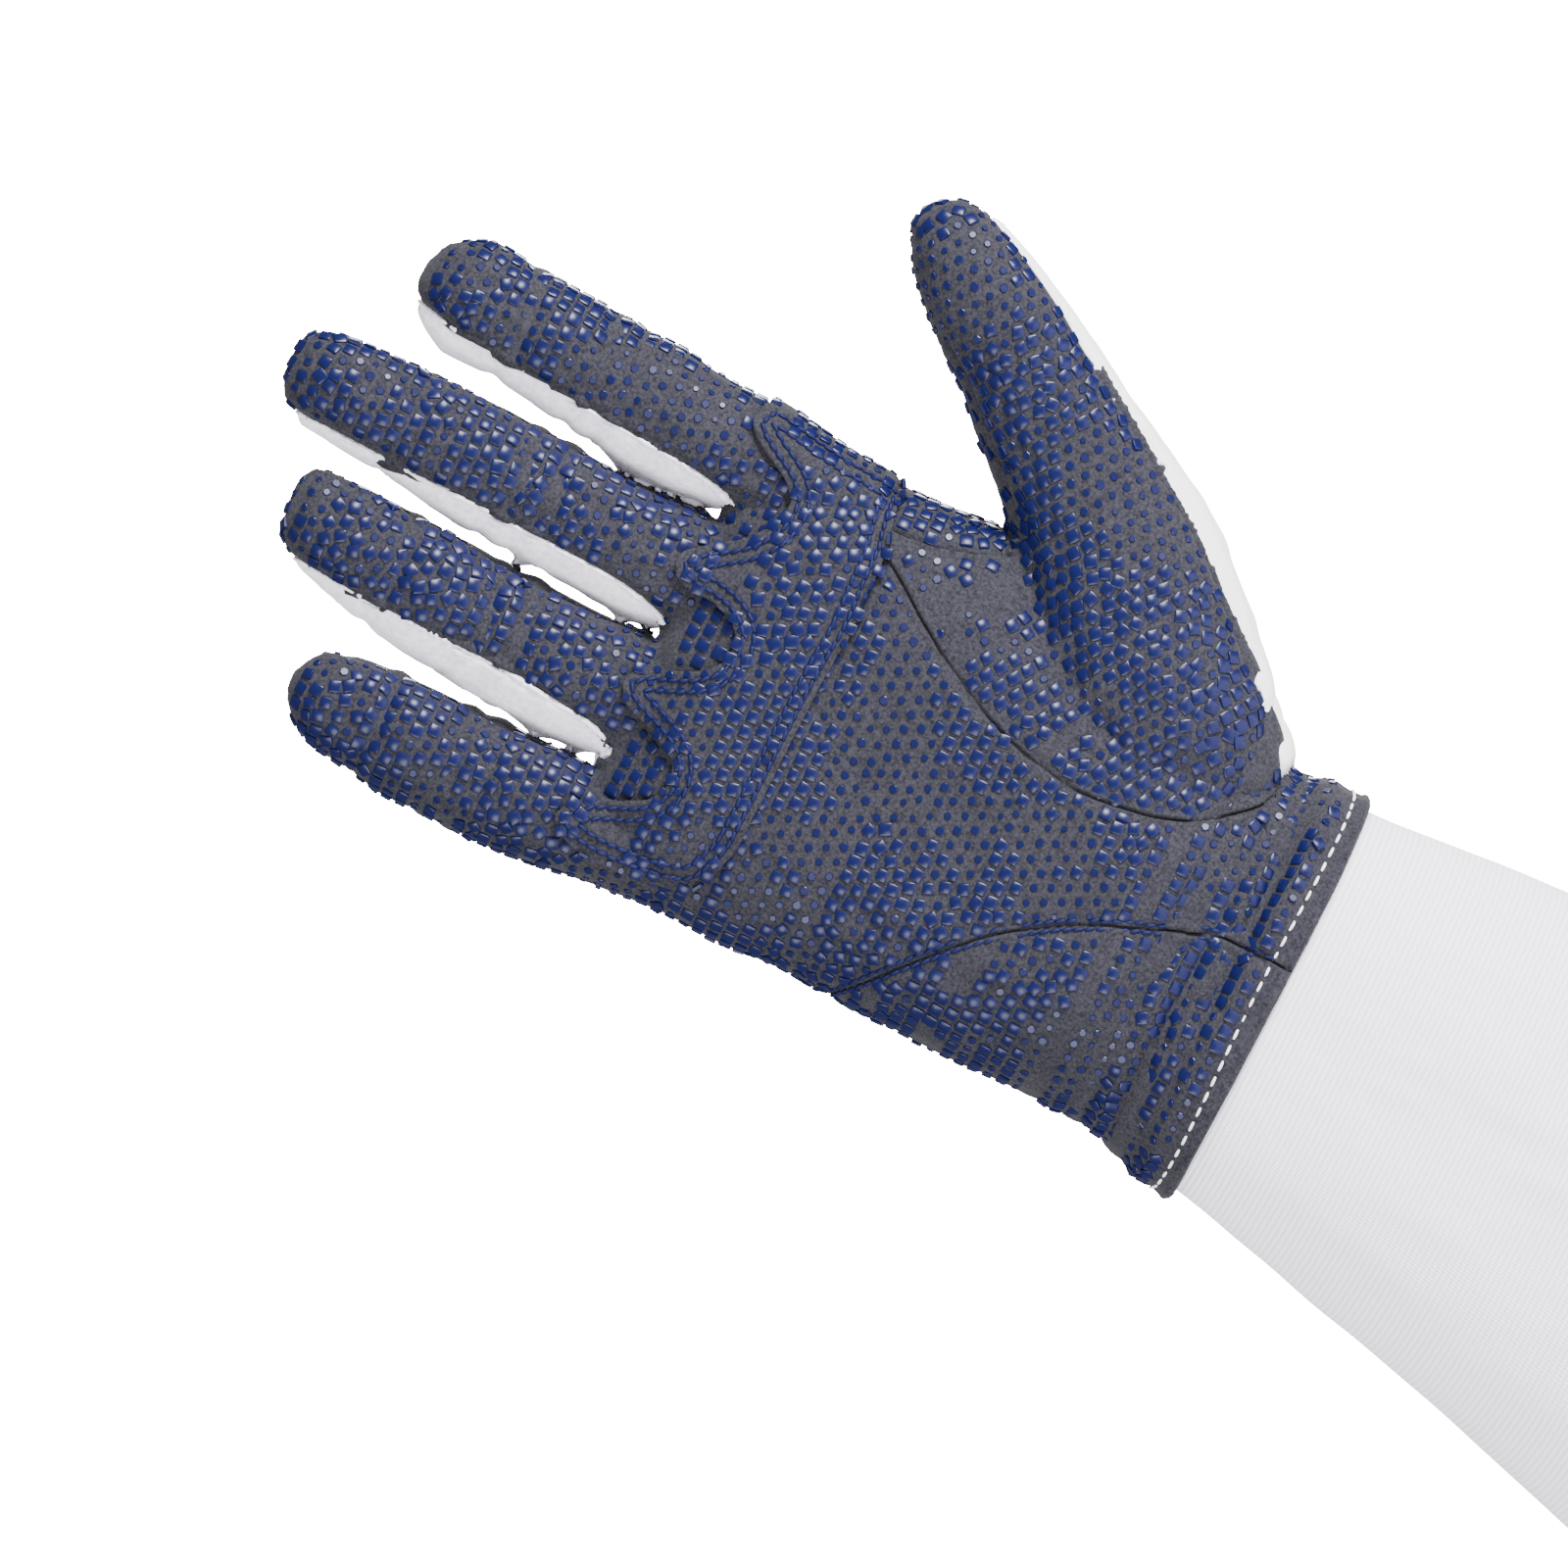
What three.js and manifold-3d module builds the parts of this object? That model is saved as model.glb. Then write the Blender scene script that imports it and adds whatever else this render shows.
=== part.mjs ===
// A right-hand fencing glove with a long cuff, as worn: fingers up, palm towards -Y, thumb towards +X.
// Millimetres, +Z up. The origin is the middle of the cuff's open end.
// Every panel is cut from one layer of cloth or leather that lies round the hand's form, and the
// panels are parted along their seams.
import * as THREE from "three";
import { mergeVertices } from "three/addons/utils/BufferGeometryUtils.js";
import Module from "manifold-3d";

const wasm = await Module();
wasm.setup();

// Driving dimensions.
const cuffLength = 130; // open end to the leather's lower edge
const cuffWidth = 130; // at the open end
const cuffDepth = 88; // at the open end
const cuffWall = 2;
const cuffTuck = 9; // cloth that runs up inside the leather
const palmLength = 138; // leather's lower edge to the webs between the fingers
const palmWidth = 96;
const palmDepth = 46;
const palmHollow = 3.5; // how far the middle of the palm is sunk
const fingerDepth = 24;
const thumbLength = 104;
const thumbWidth = 28;
const thumbDepth = 26;
const thumbRise = 53.6; // degrees from the horizontal to the thumb's line
const layer = 1.8; // the leather or knit of every panel
const seamGap = 0.3;
const patchThickness = 1.3;
const backBand = 17; // height of the leather band on the back of the wrist
const sideSeam = 2; // the side seams lie this far behind the middle of the hand
const forkDepth = 5; // a fourchette reaches this far behind the side seams
const fingerCurl = 7; // the fingertips come forward by this much
const fingerY = -2; // middle of a finger's root, in depth
const thumbY = -2; // middle of the thumb's root, in depth
const wristX = 9; // the middle of the wrist lies this far from the middle of the cuff's open end
const thumbCurl = 9; // the thumb's tip comes forward by this much

const outside = { palm: 24, finger: 12, thumb: 16 }; // sides of the outer sections
const inside = { palm: 22, finger: 8, thumb: 10 }; // sides of the hollow's sections
const far = 300; // beyond the whole glove

// Each finger's own size: its middle line at the web, its width and its length above the webs' line.
const fingers = [
  {
    name: "index", x: 49, width: 24, length: 73,
    // at: share of the length above the webs. left, right: outer edges, leatherLeft, leatherRight:
    // edges of the leather front, all as shares of the width. deep: share of fingerDepth.
    rows: [
      { at: -0.4, left: -0.44, right: 0.27, deep: 0.9 },
      { at: 0.03, left: -0.52, right: 0.44, deep: 1, leatherLeft: -0.375 },
      { at: 0.16, left: -0.575, right: 0.47, deep: 1.02, leatherLeft: -0.333 },
      { at: 0.3, left: -0.565, right: 0.5, deep: 0.97, leatherLeft: -0.312 },
      { at: 0.44, left: -0.5, right: 0.53, deep: 0.92, leatherLeft: -0.29 },
      { at: 0.58, left: -0.44, right: 0.54, deep: 0.96, leatherLeft: -0.262 },
      { at: 0.72, left: -0.405, right: 0.565, deep: 0.88, leatherLeft: -0.238 },
      { at: 0.86, left: -0.415, right: 0.585, deep: 0.8, leatherLeft: -0.21 },
      { at: 0.93, left: -0.31, right: 0.5, deep: 0.64, leatherLeft: -0.17 },
      { at: 0.975, left: -0.17, right: 0.39, deep: 0.4, leatherLeft: -0.12 },
      { at: 1, left: 0.02, right: 0.2, deep: 0.1, leatherLeft: -0.1 },
    ],
  },
  {
    name: "middle", x: 23, width: 24, length: 88,
    rows: [
      { at: -0.33, left: -0.42, right: 0.42, deep: 0.92 },
      { at: 0.02, left: -0.53, right: 0.47, deep: 1, leatherLeft: -0.4, leatherRight: 0.53 },
      { at: 0.13, left: -0.565, right: 0.455, deep: 1.02, leatherLeft: -0.333, leatherRight: 0.44 },
      { at: 0.25, left: -0.56, right: 0.475, deep: 0.97, leatherLeft: -0.315, leatherRight: 0.43 },
      { at: 0.38, left: -0.545, right: 0.515, deep: 0.93, leatherLeft: -0.312, leatherRight: 0.46 },
      { at: 0.52, left: -0.51, right: 0.52, deep: 0.96, leatherLeft: -0.312, leatherRight: 0.475 },
      { at: 0.7, left: -0.44, right: 0.505, deep: 0.88, leatherLeft: -0.312, leatherRight: 0.48 },
      { at: 0.84, left: -0.4, right: 0.48, deep: 0.81, leatherLeft: -0.312, leatherRight: 0.465 },
      { at: 0.92, left: -0.365, right: 0.455, deep: 0.68, leatherLeft: -0.305, leatherRight: 0.44 },
      { at: 0.975, left: -0.24, right: 0.37, deep: 0.42, leatherLeft: -0.28, leatherRight: 0.41 },
      { at: 1, left: -0.02, right: 0.27, deep: 0.12, leatherLeft: -0.26, leatherRight: 0.4 },
    ],
  },
  {
    name: "ring", x: -3.5, width: 24, length: 76,
    rows: [
      { at: -0.38, left: -0.42, right: 0.42, deep: 0.9 },
      { at: 0.02, left: -0.57, right: 0.5, deep: 0.98, leatherLeft: -0.38, leatherRight: 0.52 },
      { at: 0.15, left: -0.615, right: 0.505, deep: 1, leatherLeft: -0.32, leatherRight: 0.44 },
      { at: 0.29, left: -0.605, right: 0.5, deep: 0.95, leatherLeft: -0.292, leatherRight: 0.435 },
      { at: 0.42, left: -0.575, right: 0.5, deep: 0.9, leatherLeft: -0.292, leatherRight: 0.455 },
      { at: 0.56, left: -0.54, right: 0.52, deep: 0.94, leatherLeft: -0.292, leatherRight: 0.485 },
      { at: 0.7, left: -0.475, right: 0.525, deep: 0.86, leatherLeft: -0.292, leatherRight: 0.5 },
      { at: 0.82, left: -0.39, right: 0.54, deep: 0.8, leatherLeft: -0.285, leatherRight: 0.51 },
      { at: 0.93, left: -0.28, right: 0.545, deep: 0.66, leatherLeft: -0.26, leatherRight: 0.51 },
      { at: 0.98, left: -0.13, right: 0.47, deep: 0.4, leatherLeft: -0.2, leatherRight: 0.5 },
      { at: 1, left: 0.16, right: 0.36, deep: 0.1, leatherLeft: -0.18, leatherRight: 0.5 },
    ],
  },
  {
    name: "little", x: -31, width: 23, length: 60,
    rows: [
      { at: -0.45, left: -0.26, right: 0.4, deep: 0.8 },
      { at: 0.02, left: -0.475, right: 0.5, deep: 0.93, leatherRight: 0.56 },
      { at: 0.15, left: -0.51, right: 0.54, deep: 0.94, leatherRight: 0.47 },
      { at: 0.25, left: -0.53, right: 0.53, deep: 0.9, leatherRight: 0.456 },
      { at: 0.4, left: -0.535, right: 0.515, deep: 0.87, leatherRight: 0.456 },
      { at: 0.55, left: -0.52, right: 0.5, deep: 0.88, leatherRight: 0.456 },
      { at: 0.72, left: -0.465, right: 0.49, deep: 0.82, leatherRight: 0.44 },
      { at: 0.87, left: -0.4, right: 0.455, deep: 0.72, leatherRight: 0.4 },
      { at: 0.94, left: -0.29, right: 0.34, deep: 0.54, leatherRight: 0.36 },
      { at: 0.98, left: -0.17, right: 0.2, deep: 0.34, leatherRight: 0.32 },
      { at: 1, left: -0.05, right: 0.07, deep: 0.1, leatherRight: 0.3 },
    ],
  },
];

// The palm and wrist. at: share of palmLength. left, right: shares of palmWidth. front, back: shares
// of palmDepth. The rows near the bottom are the hem's bulge and the folds of the gathered wrist.
const palmRows = [
  { at: -0.15, left: -0.47, right: 0.46, front: 0.53, back: 0.53 },
  { at: 0, left: -0.458, right: 0.454, front: 0.54, back: 0.53 },
  { at: 0.045, left: -0.446, right: 0.457, front: 0.575, back: 0.53 },
  { at: 0.075, left: -0.432, right: 0.445, front: 0.49, back: 0.49 },
  { at: 0.097, left: -0.42, right: 0.44, front: 0.515, back: 0.485 },
  { at: 0.118, left: -0.405, right: 0.445, front: 0.45, back: 0.47 },
  { at: 0.15, left: -0.398, right: 0.45, front: 0.5, back: 0.46 },
  { at: 0.24, left: -0.397, right: 0.47, front: 0.535, back: 0.44 },
  { at: 0.38, left: -0.401, right: 0.5, front: 0.52, back: 0.42 },
  { at: 0.5, left: -0.404, right: 0.54, front: 0.48, back: 0.41 },
  { at: 0.62, left: -0.396, right: 0.61, front: 0.445, back: 0.39 },
  { at: 0.75, left: -0.408, right: 0.592, front: 0.41, back: 0.35 },
  { at: 0.83, left: -0.404, right: 0.594, front: 0.39, back: 0.31 },
  { at: 0.91, left: -0.42, right: 0.6, front: 0.355, back: 0.27 },
  { at: 0.965, left: -0.405, right: 0.575, front: 0.28, back: 0.22 },
  { at: 0.995, left: -0.37, right: 0.53, front: 0.17, back: 0.12 },
];

// The thumb. at: share of thumbLength from its root. outer, inner: edges as shares of thumbWidth, on
// the side away from the palm and the side of the index finger. deep: share of thumbDepth.
const thumbRows = [
  { at: -0.24, outer: 0.62, inner: -0.55, deep: 1.3, edge: 0.84 },
  { at: -0.1, outer: 0.74, inner: -0.8, deep: 1.6, edge: 0.8 },
  { at: 0.04, outer: 0.82, inner: -0.86, deep: 1.6, edge: 0.77 },
  { at: 0.19, outer: 0.885, inner: -0.72, deep: 1.42, edge: 0.77 },
  { at: 0.28, outer: 0.87, inner: -0.55, deep: 1.28, edge: 0.78 },
  { at: 0.37, outer: 0.825, inner: -0.445, deep: 1.16, edge: 0.8 },
  { at: 0.47, outer: 0.775, inner: -0.37, deep: 1.06, edge: 0.81 },
  { at: 0.57, outer: 0.715, inner: -0.345, deep: 1, edge: 0.82 },
  { at: 0.67, outer: 0.66, inner: -0.3, deep: 0.99, edge: 0.85 },
  { at: 0.77, outer: 0.6, inner: -0.305, deep: 0.95, edge: 0.88 },
  { at: 0.86, outer: 0.53, inner: -0.27, deep: 0.84, edge: 0.92 },
  { at: 0.93, outer: 0.45, inner: -0.2, deep: 0.66, edge: 0.94 },
  { at: 0.98, outer: 0.3, inner: -0.09, deep: 0.4, edge: 0.96 },
  { at: 1, outer: 0.12, inner: 0.03, deep: 0.1, edge: 0.98 },
];

// The cuff's outside. at: share of cuffLength below the leather. grow: 0 at the wrist, 1 at the open end.
const cuffRows = [
  { at: 0.03, grow: 0.02 },
  { at: 0.12, grow: 0.09 },
  { at: 0.3, grow: 0.26 },
  { at: 0.6, grow: 0.57 },
  { at: 0.88, grow: 0.88 },
  { at: 1, grow: 1 },
];

// Seams on the palm's face, as shares of palmWidth and palmLength.
const hemLine = [[-0.5, -0.012], [-0.36, -0.007], [-0.26, 0.003], [-0.15, 0.008], [0.3, 0.007], [0.5, 0.004]];
const heelSeam = [
  [-0.44, 0.6], [-0.39, 0.552], [-0.29, 0.49], [-0.17, 0.415], [-0.1, 0.355], [-0.04, 0.29], [0.005, 0.215],
  [0.035, 0.165], [0.065, 0.12], [0.07, 0.08], [0.065, -0.05],
];
const thumbSeam = [
  [0.437, 0.754], [0.385, 0.703], [0.323, 0.638], [0.26, 0.551], [0.2135, 0.464], [0.198, 0.377],
  [0.2135, 0.275], [0.26, 0.196], [0.344, 0.134], [0.396, 0.121],
];
const gussetSeam = [
  [0.49, 0.754], [0.5, 0.71], [0.516, 0.667], [0.531, 0.63], [0.552, 0.605], [0.573, 0.594], [0.594, 0.594],
  [0.62, 0.607],
];
const patchLine = [
  [-0.35, 0.83], [-0.33, 0.796], [-0.25, 0.77], [-0.16, 0.763], [0.1, 0.762], [0.36, 0.762], [0.47, 0.77],
  [0.56, 0.784], [0.64, 0.8], [0.65, 0.9], [0.64, 0.985], [0.575, 1.018], [0.53, 0.995], [0.5, 0.945],
  [0.46, 0.917], [0.415, 0.915], [0.36, 0.935], [0.31, 0.98], [0.275, 1.02], [0.235, 1.03], [0.205, 1.0],
  [0.2, 0.945], [0.18, 0.905], [0.13, 0.892], [0.08, 0.91], [0.045, 0.945], [0.02, 0.995], [-0.02, 1.018],
  [-0.06, 0.995], [-0.08, 0.945], [-0.115, 0.9], [-0.155, 0.888], [-0.205, 0.9], [-0.24, 0.945],
  [-0.27, 0.99], [-0.315, 1.016], [-0.36, 0.99], [-0.366, 0.92],
];

// Fourchettes: the finger on either side, and how far the strip's point drops below the webs' line.
const forks = [
  { name: "fourchette_little_ring", left: "little", right: "ring", drop: 8 },
  { name: "fourchette_ring_middle", left: "ring", right: "middle", drop: 2 },
  { name: "fourchette_middle_index", left: "middle", right: "index", drop: 6 },
];
// The seam of the thumb's back against the back of the hand, as shares of palmWidth and palmLength.
const thumbBackSeam = [[0.68, 0.66], [0.6, 0.62], [0.49, 0.54], [0.39, 0.42], [0.35, 0.3], [0.37, 0.2], [0.4, 0.1]];

const hemZ = cuffLength;
const webZ = hemZ + palmLength;
const longest = Math.max(...fingers.map((finger) => finger.length));
const thumbAngle = THREE.MathUtils.degToRad(thumbRise);
const thumbRoot = new THREE.Vector2(wristX + 0.458 * palmWidth, hemZ + 0.337 * palmLength);
const thumbAlong = new THREE.Vector2(Math.cos(thumbAngle), Math.sin(thumbAngle));
const thumbAcross = new THREE.Vector2(thumbAlong.y, -thumbAlong.x);

// Solids, joined and cut.

function toSolid(geometry) {
  geometry.deleteAttribute("normal");
  geometry.deleteAttribute("uv");
  const merged = mergeVertices(geometry, 1e-4);
  return new wasm.Manifold(new wasm.Mesh({
    numProp: 3,
    vertProperties: new Float32Array(merged.attributes.position.array),
    triVerts: new Uint32Array(merged.index.array),
  }));
}

function join(solids) {
  return solids.reduce((all, solid) => all.add(solid));
}

// A closed solid through rings of points, each counterclockwise as seen from the last ring's side.
function loft(rings) {
  const sides = rings[0].length;
  const points = rings.flat();
  const faces = [];
  for (let row = 0; row < rings.length - 1; row += 1) {
    for (let side = 0; side < sides; side += 1) {
      const a = row * sides + side;
      const b = row * sides + (side + 1) % sides;
      faces.push(a, b, b + sides, a, b + sides, a + sides);
    }
  }
  for (const [row, turned] of [[0, true], [rings.length - 1, false]]) {
    const middle = new THREE.Vector3();
    rings[row].forEach((point) => middle.addScaledVector(point, 1 / sides));
    points.push(middle);
    for (let side = 0; side < sides; side += 1) {
      const a = row * sides + side;
      const b = row * sides + (side + 1) % sides;
      faces.push(points.length - 1, turned ? b : a, turned ? a : b);
    }
  }
  const geometry = new THREE.BufferGeometry().setFromPoints(points);
  geometry.setIndex(faces);
  return toSolid(geometry);
}

// A ring round a section: edges across, front and back depths, and the corners' fullness.
function section(sides, low, high, front, back, full) {
  const middle = (low + high) / 2;
  const half = Math.max((high - low) / 2, 0.4);
  return Array.from({ length: sides }, (unused, side) => {
    const angle = 2 * Math.PI * side / sides;
    const across = Math.sign(Math.cos(angle)) * Math.abs(Math.cos(angle)) ** full;
    const depth = Math.sign(Math.sin(angle)) * Math.abs(Math.sin(angle)) ** full;
    return { across: middle + half * across, depth: depth * Math.max(depth > 0 ? back : front, 0.4) };
  });
}

function between(rows, at) {
  const next = Math.max(1, rows.findIndex((row) => row.at >= at));
  const a = rows[next - 1];
  const b = rows[next];
  const t = (at - a.at) / (b.at - a.at);
  const mixed = {};
  Object.keys(a).forEach((key) => { mixed[key] = a[key] + (b[key] - a[key]) * t; });
  return mixed;
}

// The middle of the hand in depth, at a height: it comes forward towards the fingertips.
function middleY(z) {
  const root = THREE.MathUtils.smoothstep(z, webZ - 40, webZ);
  const up = Math.max(0, z - webZ) / longest;
  return fingerY * root - fingerCurl * up * up;
}

function palmRing(row, inset, sides) {
  const ring = section(
    sides.palm,
    row.left * palmWidth + inset,
    row.right * palmWidth - inset,
    row.front * palmDepth - inset,
    row.back * palmDepth - inset,
    0.84,
  );
  const rise = Math.sin(Math.PI * THREE.MathUtils.clamp((row.at - 0.2) / 0.72, 0, 1));
  return ring.map(({ across, depth }) => {
    const sunk = depth < 0 ? palmHollow * rise * Math.exp(-(((across - 2) / 17) ** 2)) : 0;
    return new THREE.Vector3(wristX + across, depth + sunk, hemZ + row.at * palmLength);
  });
}

function fingerRing(finger, row, inset, sides) {
  const deep = row.deep * fingerDepth / 2 - inset;
  const ring = section(
    sides.finger,
    row.left * finger.width + inset,
    row.right * finger.width - inset,
    deep,
    deep,
    0.9,
  );
  const tip = THREE.MathUtils.clamp((row.at - 0.8) / 0.2, 0, 1);
  const z = webZ + row.at * finger.length;
  return ring.map(({ across, depth }) => (
    new THREE.Vector3(wristX + finger.x + across, middleY(z) + fingerY * (z < webZ ? 0.3 : 0) + depth, z - inset * tip)
  ));
}

function thumbPoint(at, across, y) {
  const x = thumbRoot.x + thumbAlong.x * at * thumbLength + thumbAcross.x * across;
  const z = thumbRoot.y + thumbAlong.y * at * thumbLength + thumbAcross.y * across;
  return new THREE.Vector3(x, y, z);
}

function thumbMiddle(at) {
  return thumbY - thumbCurl * Math.max(0, at) ** 1.5;
}

function thumbRing(row, inset, sides) {
  const deep = row.deep * thumbDepth / 2 - inset;
  const ring = section(
    sides.thumb,
    row.inner * thumbWidth + inset,
    row.outer * thumbWidth - inset,
    deep,
    deep,
    0.9,
  );
  const tip = THREE.MathUtils.clamp((row.at - 0.8) / 0.2, 0, 1);
  return ring.map(({ across, depth }) => (
    thumbPoint(row.at - inset * tip / thumbLength, across, thumbMiddle(row.at) + depth)
  ));
}

// The whole hand's form, drawn in by inset all round.
function handForm(inset, sides = outside) {
  const parts = [
    loft(palmRows.map((row) => palmRing(row, inset, sides))),
    loft(thumbRows.map((row) => thumbRing(row, inset, sides))),
    ...fingers.map((finger) => loft(finger.rows.map((row) => fingerRing(finger, row, inset, sides)))),
  ];
  return join(parts);
}

// Cutters. Outlines are lists of points across (x) and up (z), counterclockwise.

// The outline moved outwards by a gap, mitred at its corners.
function grown(outline, gap) {
  const outward = (from, to) => {
    const along = to.clone().sub(from).normalize();
    return new THREE.Vector2(along.y, -along.x);
  };
  return outline.map((point, i) => {
    const before = outward(outline[(i + outline.length - 1) % outline.length], point);
    const after = outward(point, outline[(i + 1) % outline.length]);
    const mitre = before.clone().add(after).divideScalar(Math.max(0.3, 1 + before.dot(after)));
    return point.clone().addScaledVector(mitre, gap);
  });
}

function frontal(outline, gap = 0) {
  const geometry = new THREE.ExtrudeGeometry(new THREE.Shape(grown(outline, gap)), {
    depth: 2 * far,
    bevelEnabled: false,
  });
  geometry.rotateX(Math.PI / 2);
  geometry.translate(0, far, 0);
  return toSolid(geometry);
}

// Everything in front of the side seams, moved back by shift.
function frontHalf(shift) {
  const edge = [];
  for (let z = -10; z <= 2 * far; z += 10) {
    edge.push(new THREE.Vector2(middleY(z) + sideSeam + shift, z));
  }
  edge.push(new THREE.Vector2(-far, 2 * far), new THREE.Vector2(-far, -10));
  const geometry = new THREE.ExtrudeGeometry(new THREE.Shape(edge), { depth: 2 * far, bevelEnabled: false });
  geometry.translate(0, 0, -far);
  geometry.applyMatrix4(new THREE.Matrix4().set(0, 0, 1, 0, 1, 0, 0, 0, 0, 1, 0, 0, 0, 0, 0, 1));
  return toSolid(geometry);
}

function onPalm(points) {
  return points.map(([x, z]) => new THREE.Vector2(wristX + x * palmWidth, hemZ + z * palmLength));
}

function curve(points, step) {
  const spline = new THREE.SplineCurve(points);
  return spline.getSpacedPoints(Math.ceil(spline.getLength() / step));
}

function fingerNamed(name) {
  return fingers.find((finger) => finger.name === name);
}

function leatherEdge(finger, column) {
  return finger.rows.filter((row) => column in row).map((row) => (
    new THREE.Vector2(wristX + finger.x + row[column] * finger.width, webZ + row.at * finger.length)
  ));
}

function forkOutline(fork) {
  const leftEdge = leatherEdge(fingerNamed(fork.left), "leatherRight");
  const rightEdge = leatherEdge(fingerNamed(fork.right), "leatherLeft");
  const point = new THREE.Vector2((leftEdge[0].x + rightEdge[0].x) / 2, webZ - fork.drop);
  const top = webZ + longest + 10;
  return [
    point,
    ...rightEdge,
    new THREE.Vector2(rightEdge.at(-1).x, top),
    new THREE.Vector2(leftEdge.at(-1).x, top),
    ...leftEdge.reverse(),
  ];
}

// The outlines of the thumb's leather, from its seam on the palm round its outer edge to the web.
const patchTuck = 0.03; // the thumb's leather and the gusset run this far under the patch
const seamOnPalm = curve(onPalm(thumbSeam), 7);
const seamOnWeb = curve(onPalm(gussetSeam), 5);
const thumbEdge = thumbRows.filter((row) => row.at > -0.24).map((row) => {
  const point = thumbPoint(row.at, row.outer * row.edge * thumbWidth, 0);
  return new THREE.Vector2(point.x, point.z);
});
function thumbSpot(at, across) {
  const point = thumbPoint(at, across * thumbWidth, 0);
  return new THREE.Vector2(point.x, point.z);
}
const webEdge = thumbRows.filter((row) => row.at > 0.3 && row.at < 0.85).map((row) => (
  thumbSpot(row.at, row.inner + 0.07)
));
const webEnd = thumbSpot(0.84, -0.8);
const underPatch = hemZ + (0.762 + patchTuck) * palmLength;
const webTop = new THREE.Vector2(seamOnWeb[0].x, underPatch);
const palmTop = new THREE.Vector2(seamOnPalm[0].x, underPatch);
const thumbOutline = [
  ...seamOnPalm,
  ...thumbEdge,
  thumbSpot(1.1, 0.4),
  thumbSpot(1.1, -0.8),
  webEnd,
  ...[...webEdge].reverse(),
  ...[...seamOnWeb].reverse(),
  webTop,
  palmTop,
];
const gussetOutline = [
  ...seamOnWeb,
  ...webEdge,
  webEnd,
  new THREE.Vector2(seamOnWeb[0].x + 30, underPatch),
  webTop,
];
const hemCurve = curve(onPalm(hemLine), 12);
const aboveHem = [
  new THREE.Vector2(-far, hemCurve[0].y),
  ...hemCurve,
  new THREE.Vector2(far, hemCurve.at(-1).y),
  new THREE.Vector2(far, 2 * far),
  new THREE.Vector2(-far, 2 * far),
];
const heelOutline = [
  new THREE.Vector2(-far, hemZ + heelSeam[0][1] * palmLength),
  new THREE.Vector2(-far, -10),
  new THREE.Vector2(wristX + heelSeam.at(-1)[0] * palmWidth, -10),
  ...curve(onPalm(heelSeam), 8).reverse(),
];
const bandOutline = [
  new THREE.Vector2(-far, -10),
  new THREE.Vector2(far, -10),
  new THREE.Vector2(far, hemZ + backBand),
  new THREE.Vector2(-far, hemZ + backBand),
];
const thumbBackOutline = [
  ...curve(onPalm(thumbBackSeam), 9),
  new THREE.Vector2(far, hemZ + thumbBackSeam.at(-1)[1] * palmLength),
  new THREE.Vector2(far, 2 * far),
  ...[new THREE.Vector2(wristX + thumbBackSeam[0][0] * palmWidth, 2 * far)],
];

// The side of the thumb, outside its leather's edge.
const thumbSideOutline = [
  new THREE.Vector2(far, seamOnPalm.at(-1).y),
  new THREE.Vector2(far, 2 * far),
  new THREE.Vector2(thumbSpot(1.1, 0.4).x, 2 * far),
  thumbSpot(1.1, 0.4),
  ...[...thumbEdge].reverse(),
  seamOnPalm.at(-1),
];

// Each panel takes its share of what the panels before it have left. shift: how far behind the side
// seams it ends, or null for all depths. beside: an outline that it fills at all depths.
const panels = [
  { name: "thumb_panel", outline: thumbOutline, shift: -1 },
  { name: "thumb_web_gusset", outline: gussetOutline, shift: 3 },
  { name: "thumb_back", outline: thumbBackOutline, shift: null, beside: thumbSideOutline },
  { name: "heel_panel", outline: heelOutline, shift: 0 },
  ...forks.map((fork) => ({ name: fork.name, outline: forkOutline(fork), shift: forkDepth })),
  { name: "palm_panel", outline: null, shift: 0 },
  { name: "wrist_band", outline: bandOutline, shift: null },
  { name: "back_panel", outline: null, shift: null },
];

function cutter(panel, gap) {
  const parts = [];
  if (panel.outline) {
    parts.push(frontal(panel.outline, gap));
  }
  if (panel.beside) {
    const behind = parts[0].subtract(frontHalf(-gap));
    return behind.add(frontal(panel.beside, gap));
  }
  if (panel.shift !== null) {
    parts.push(frontHalf(panel.shift + gap));
  }
  return parts.length === 2 ? parts[0].intersect(parts[1]) : parts[0];
}

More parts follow.
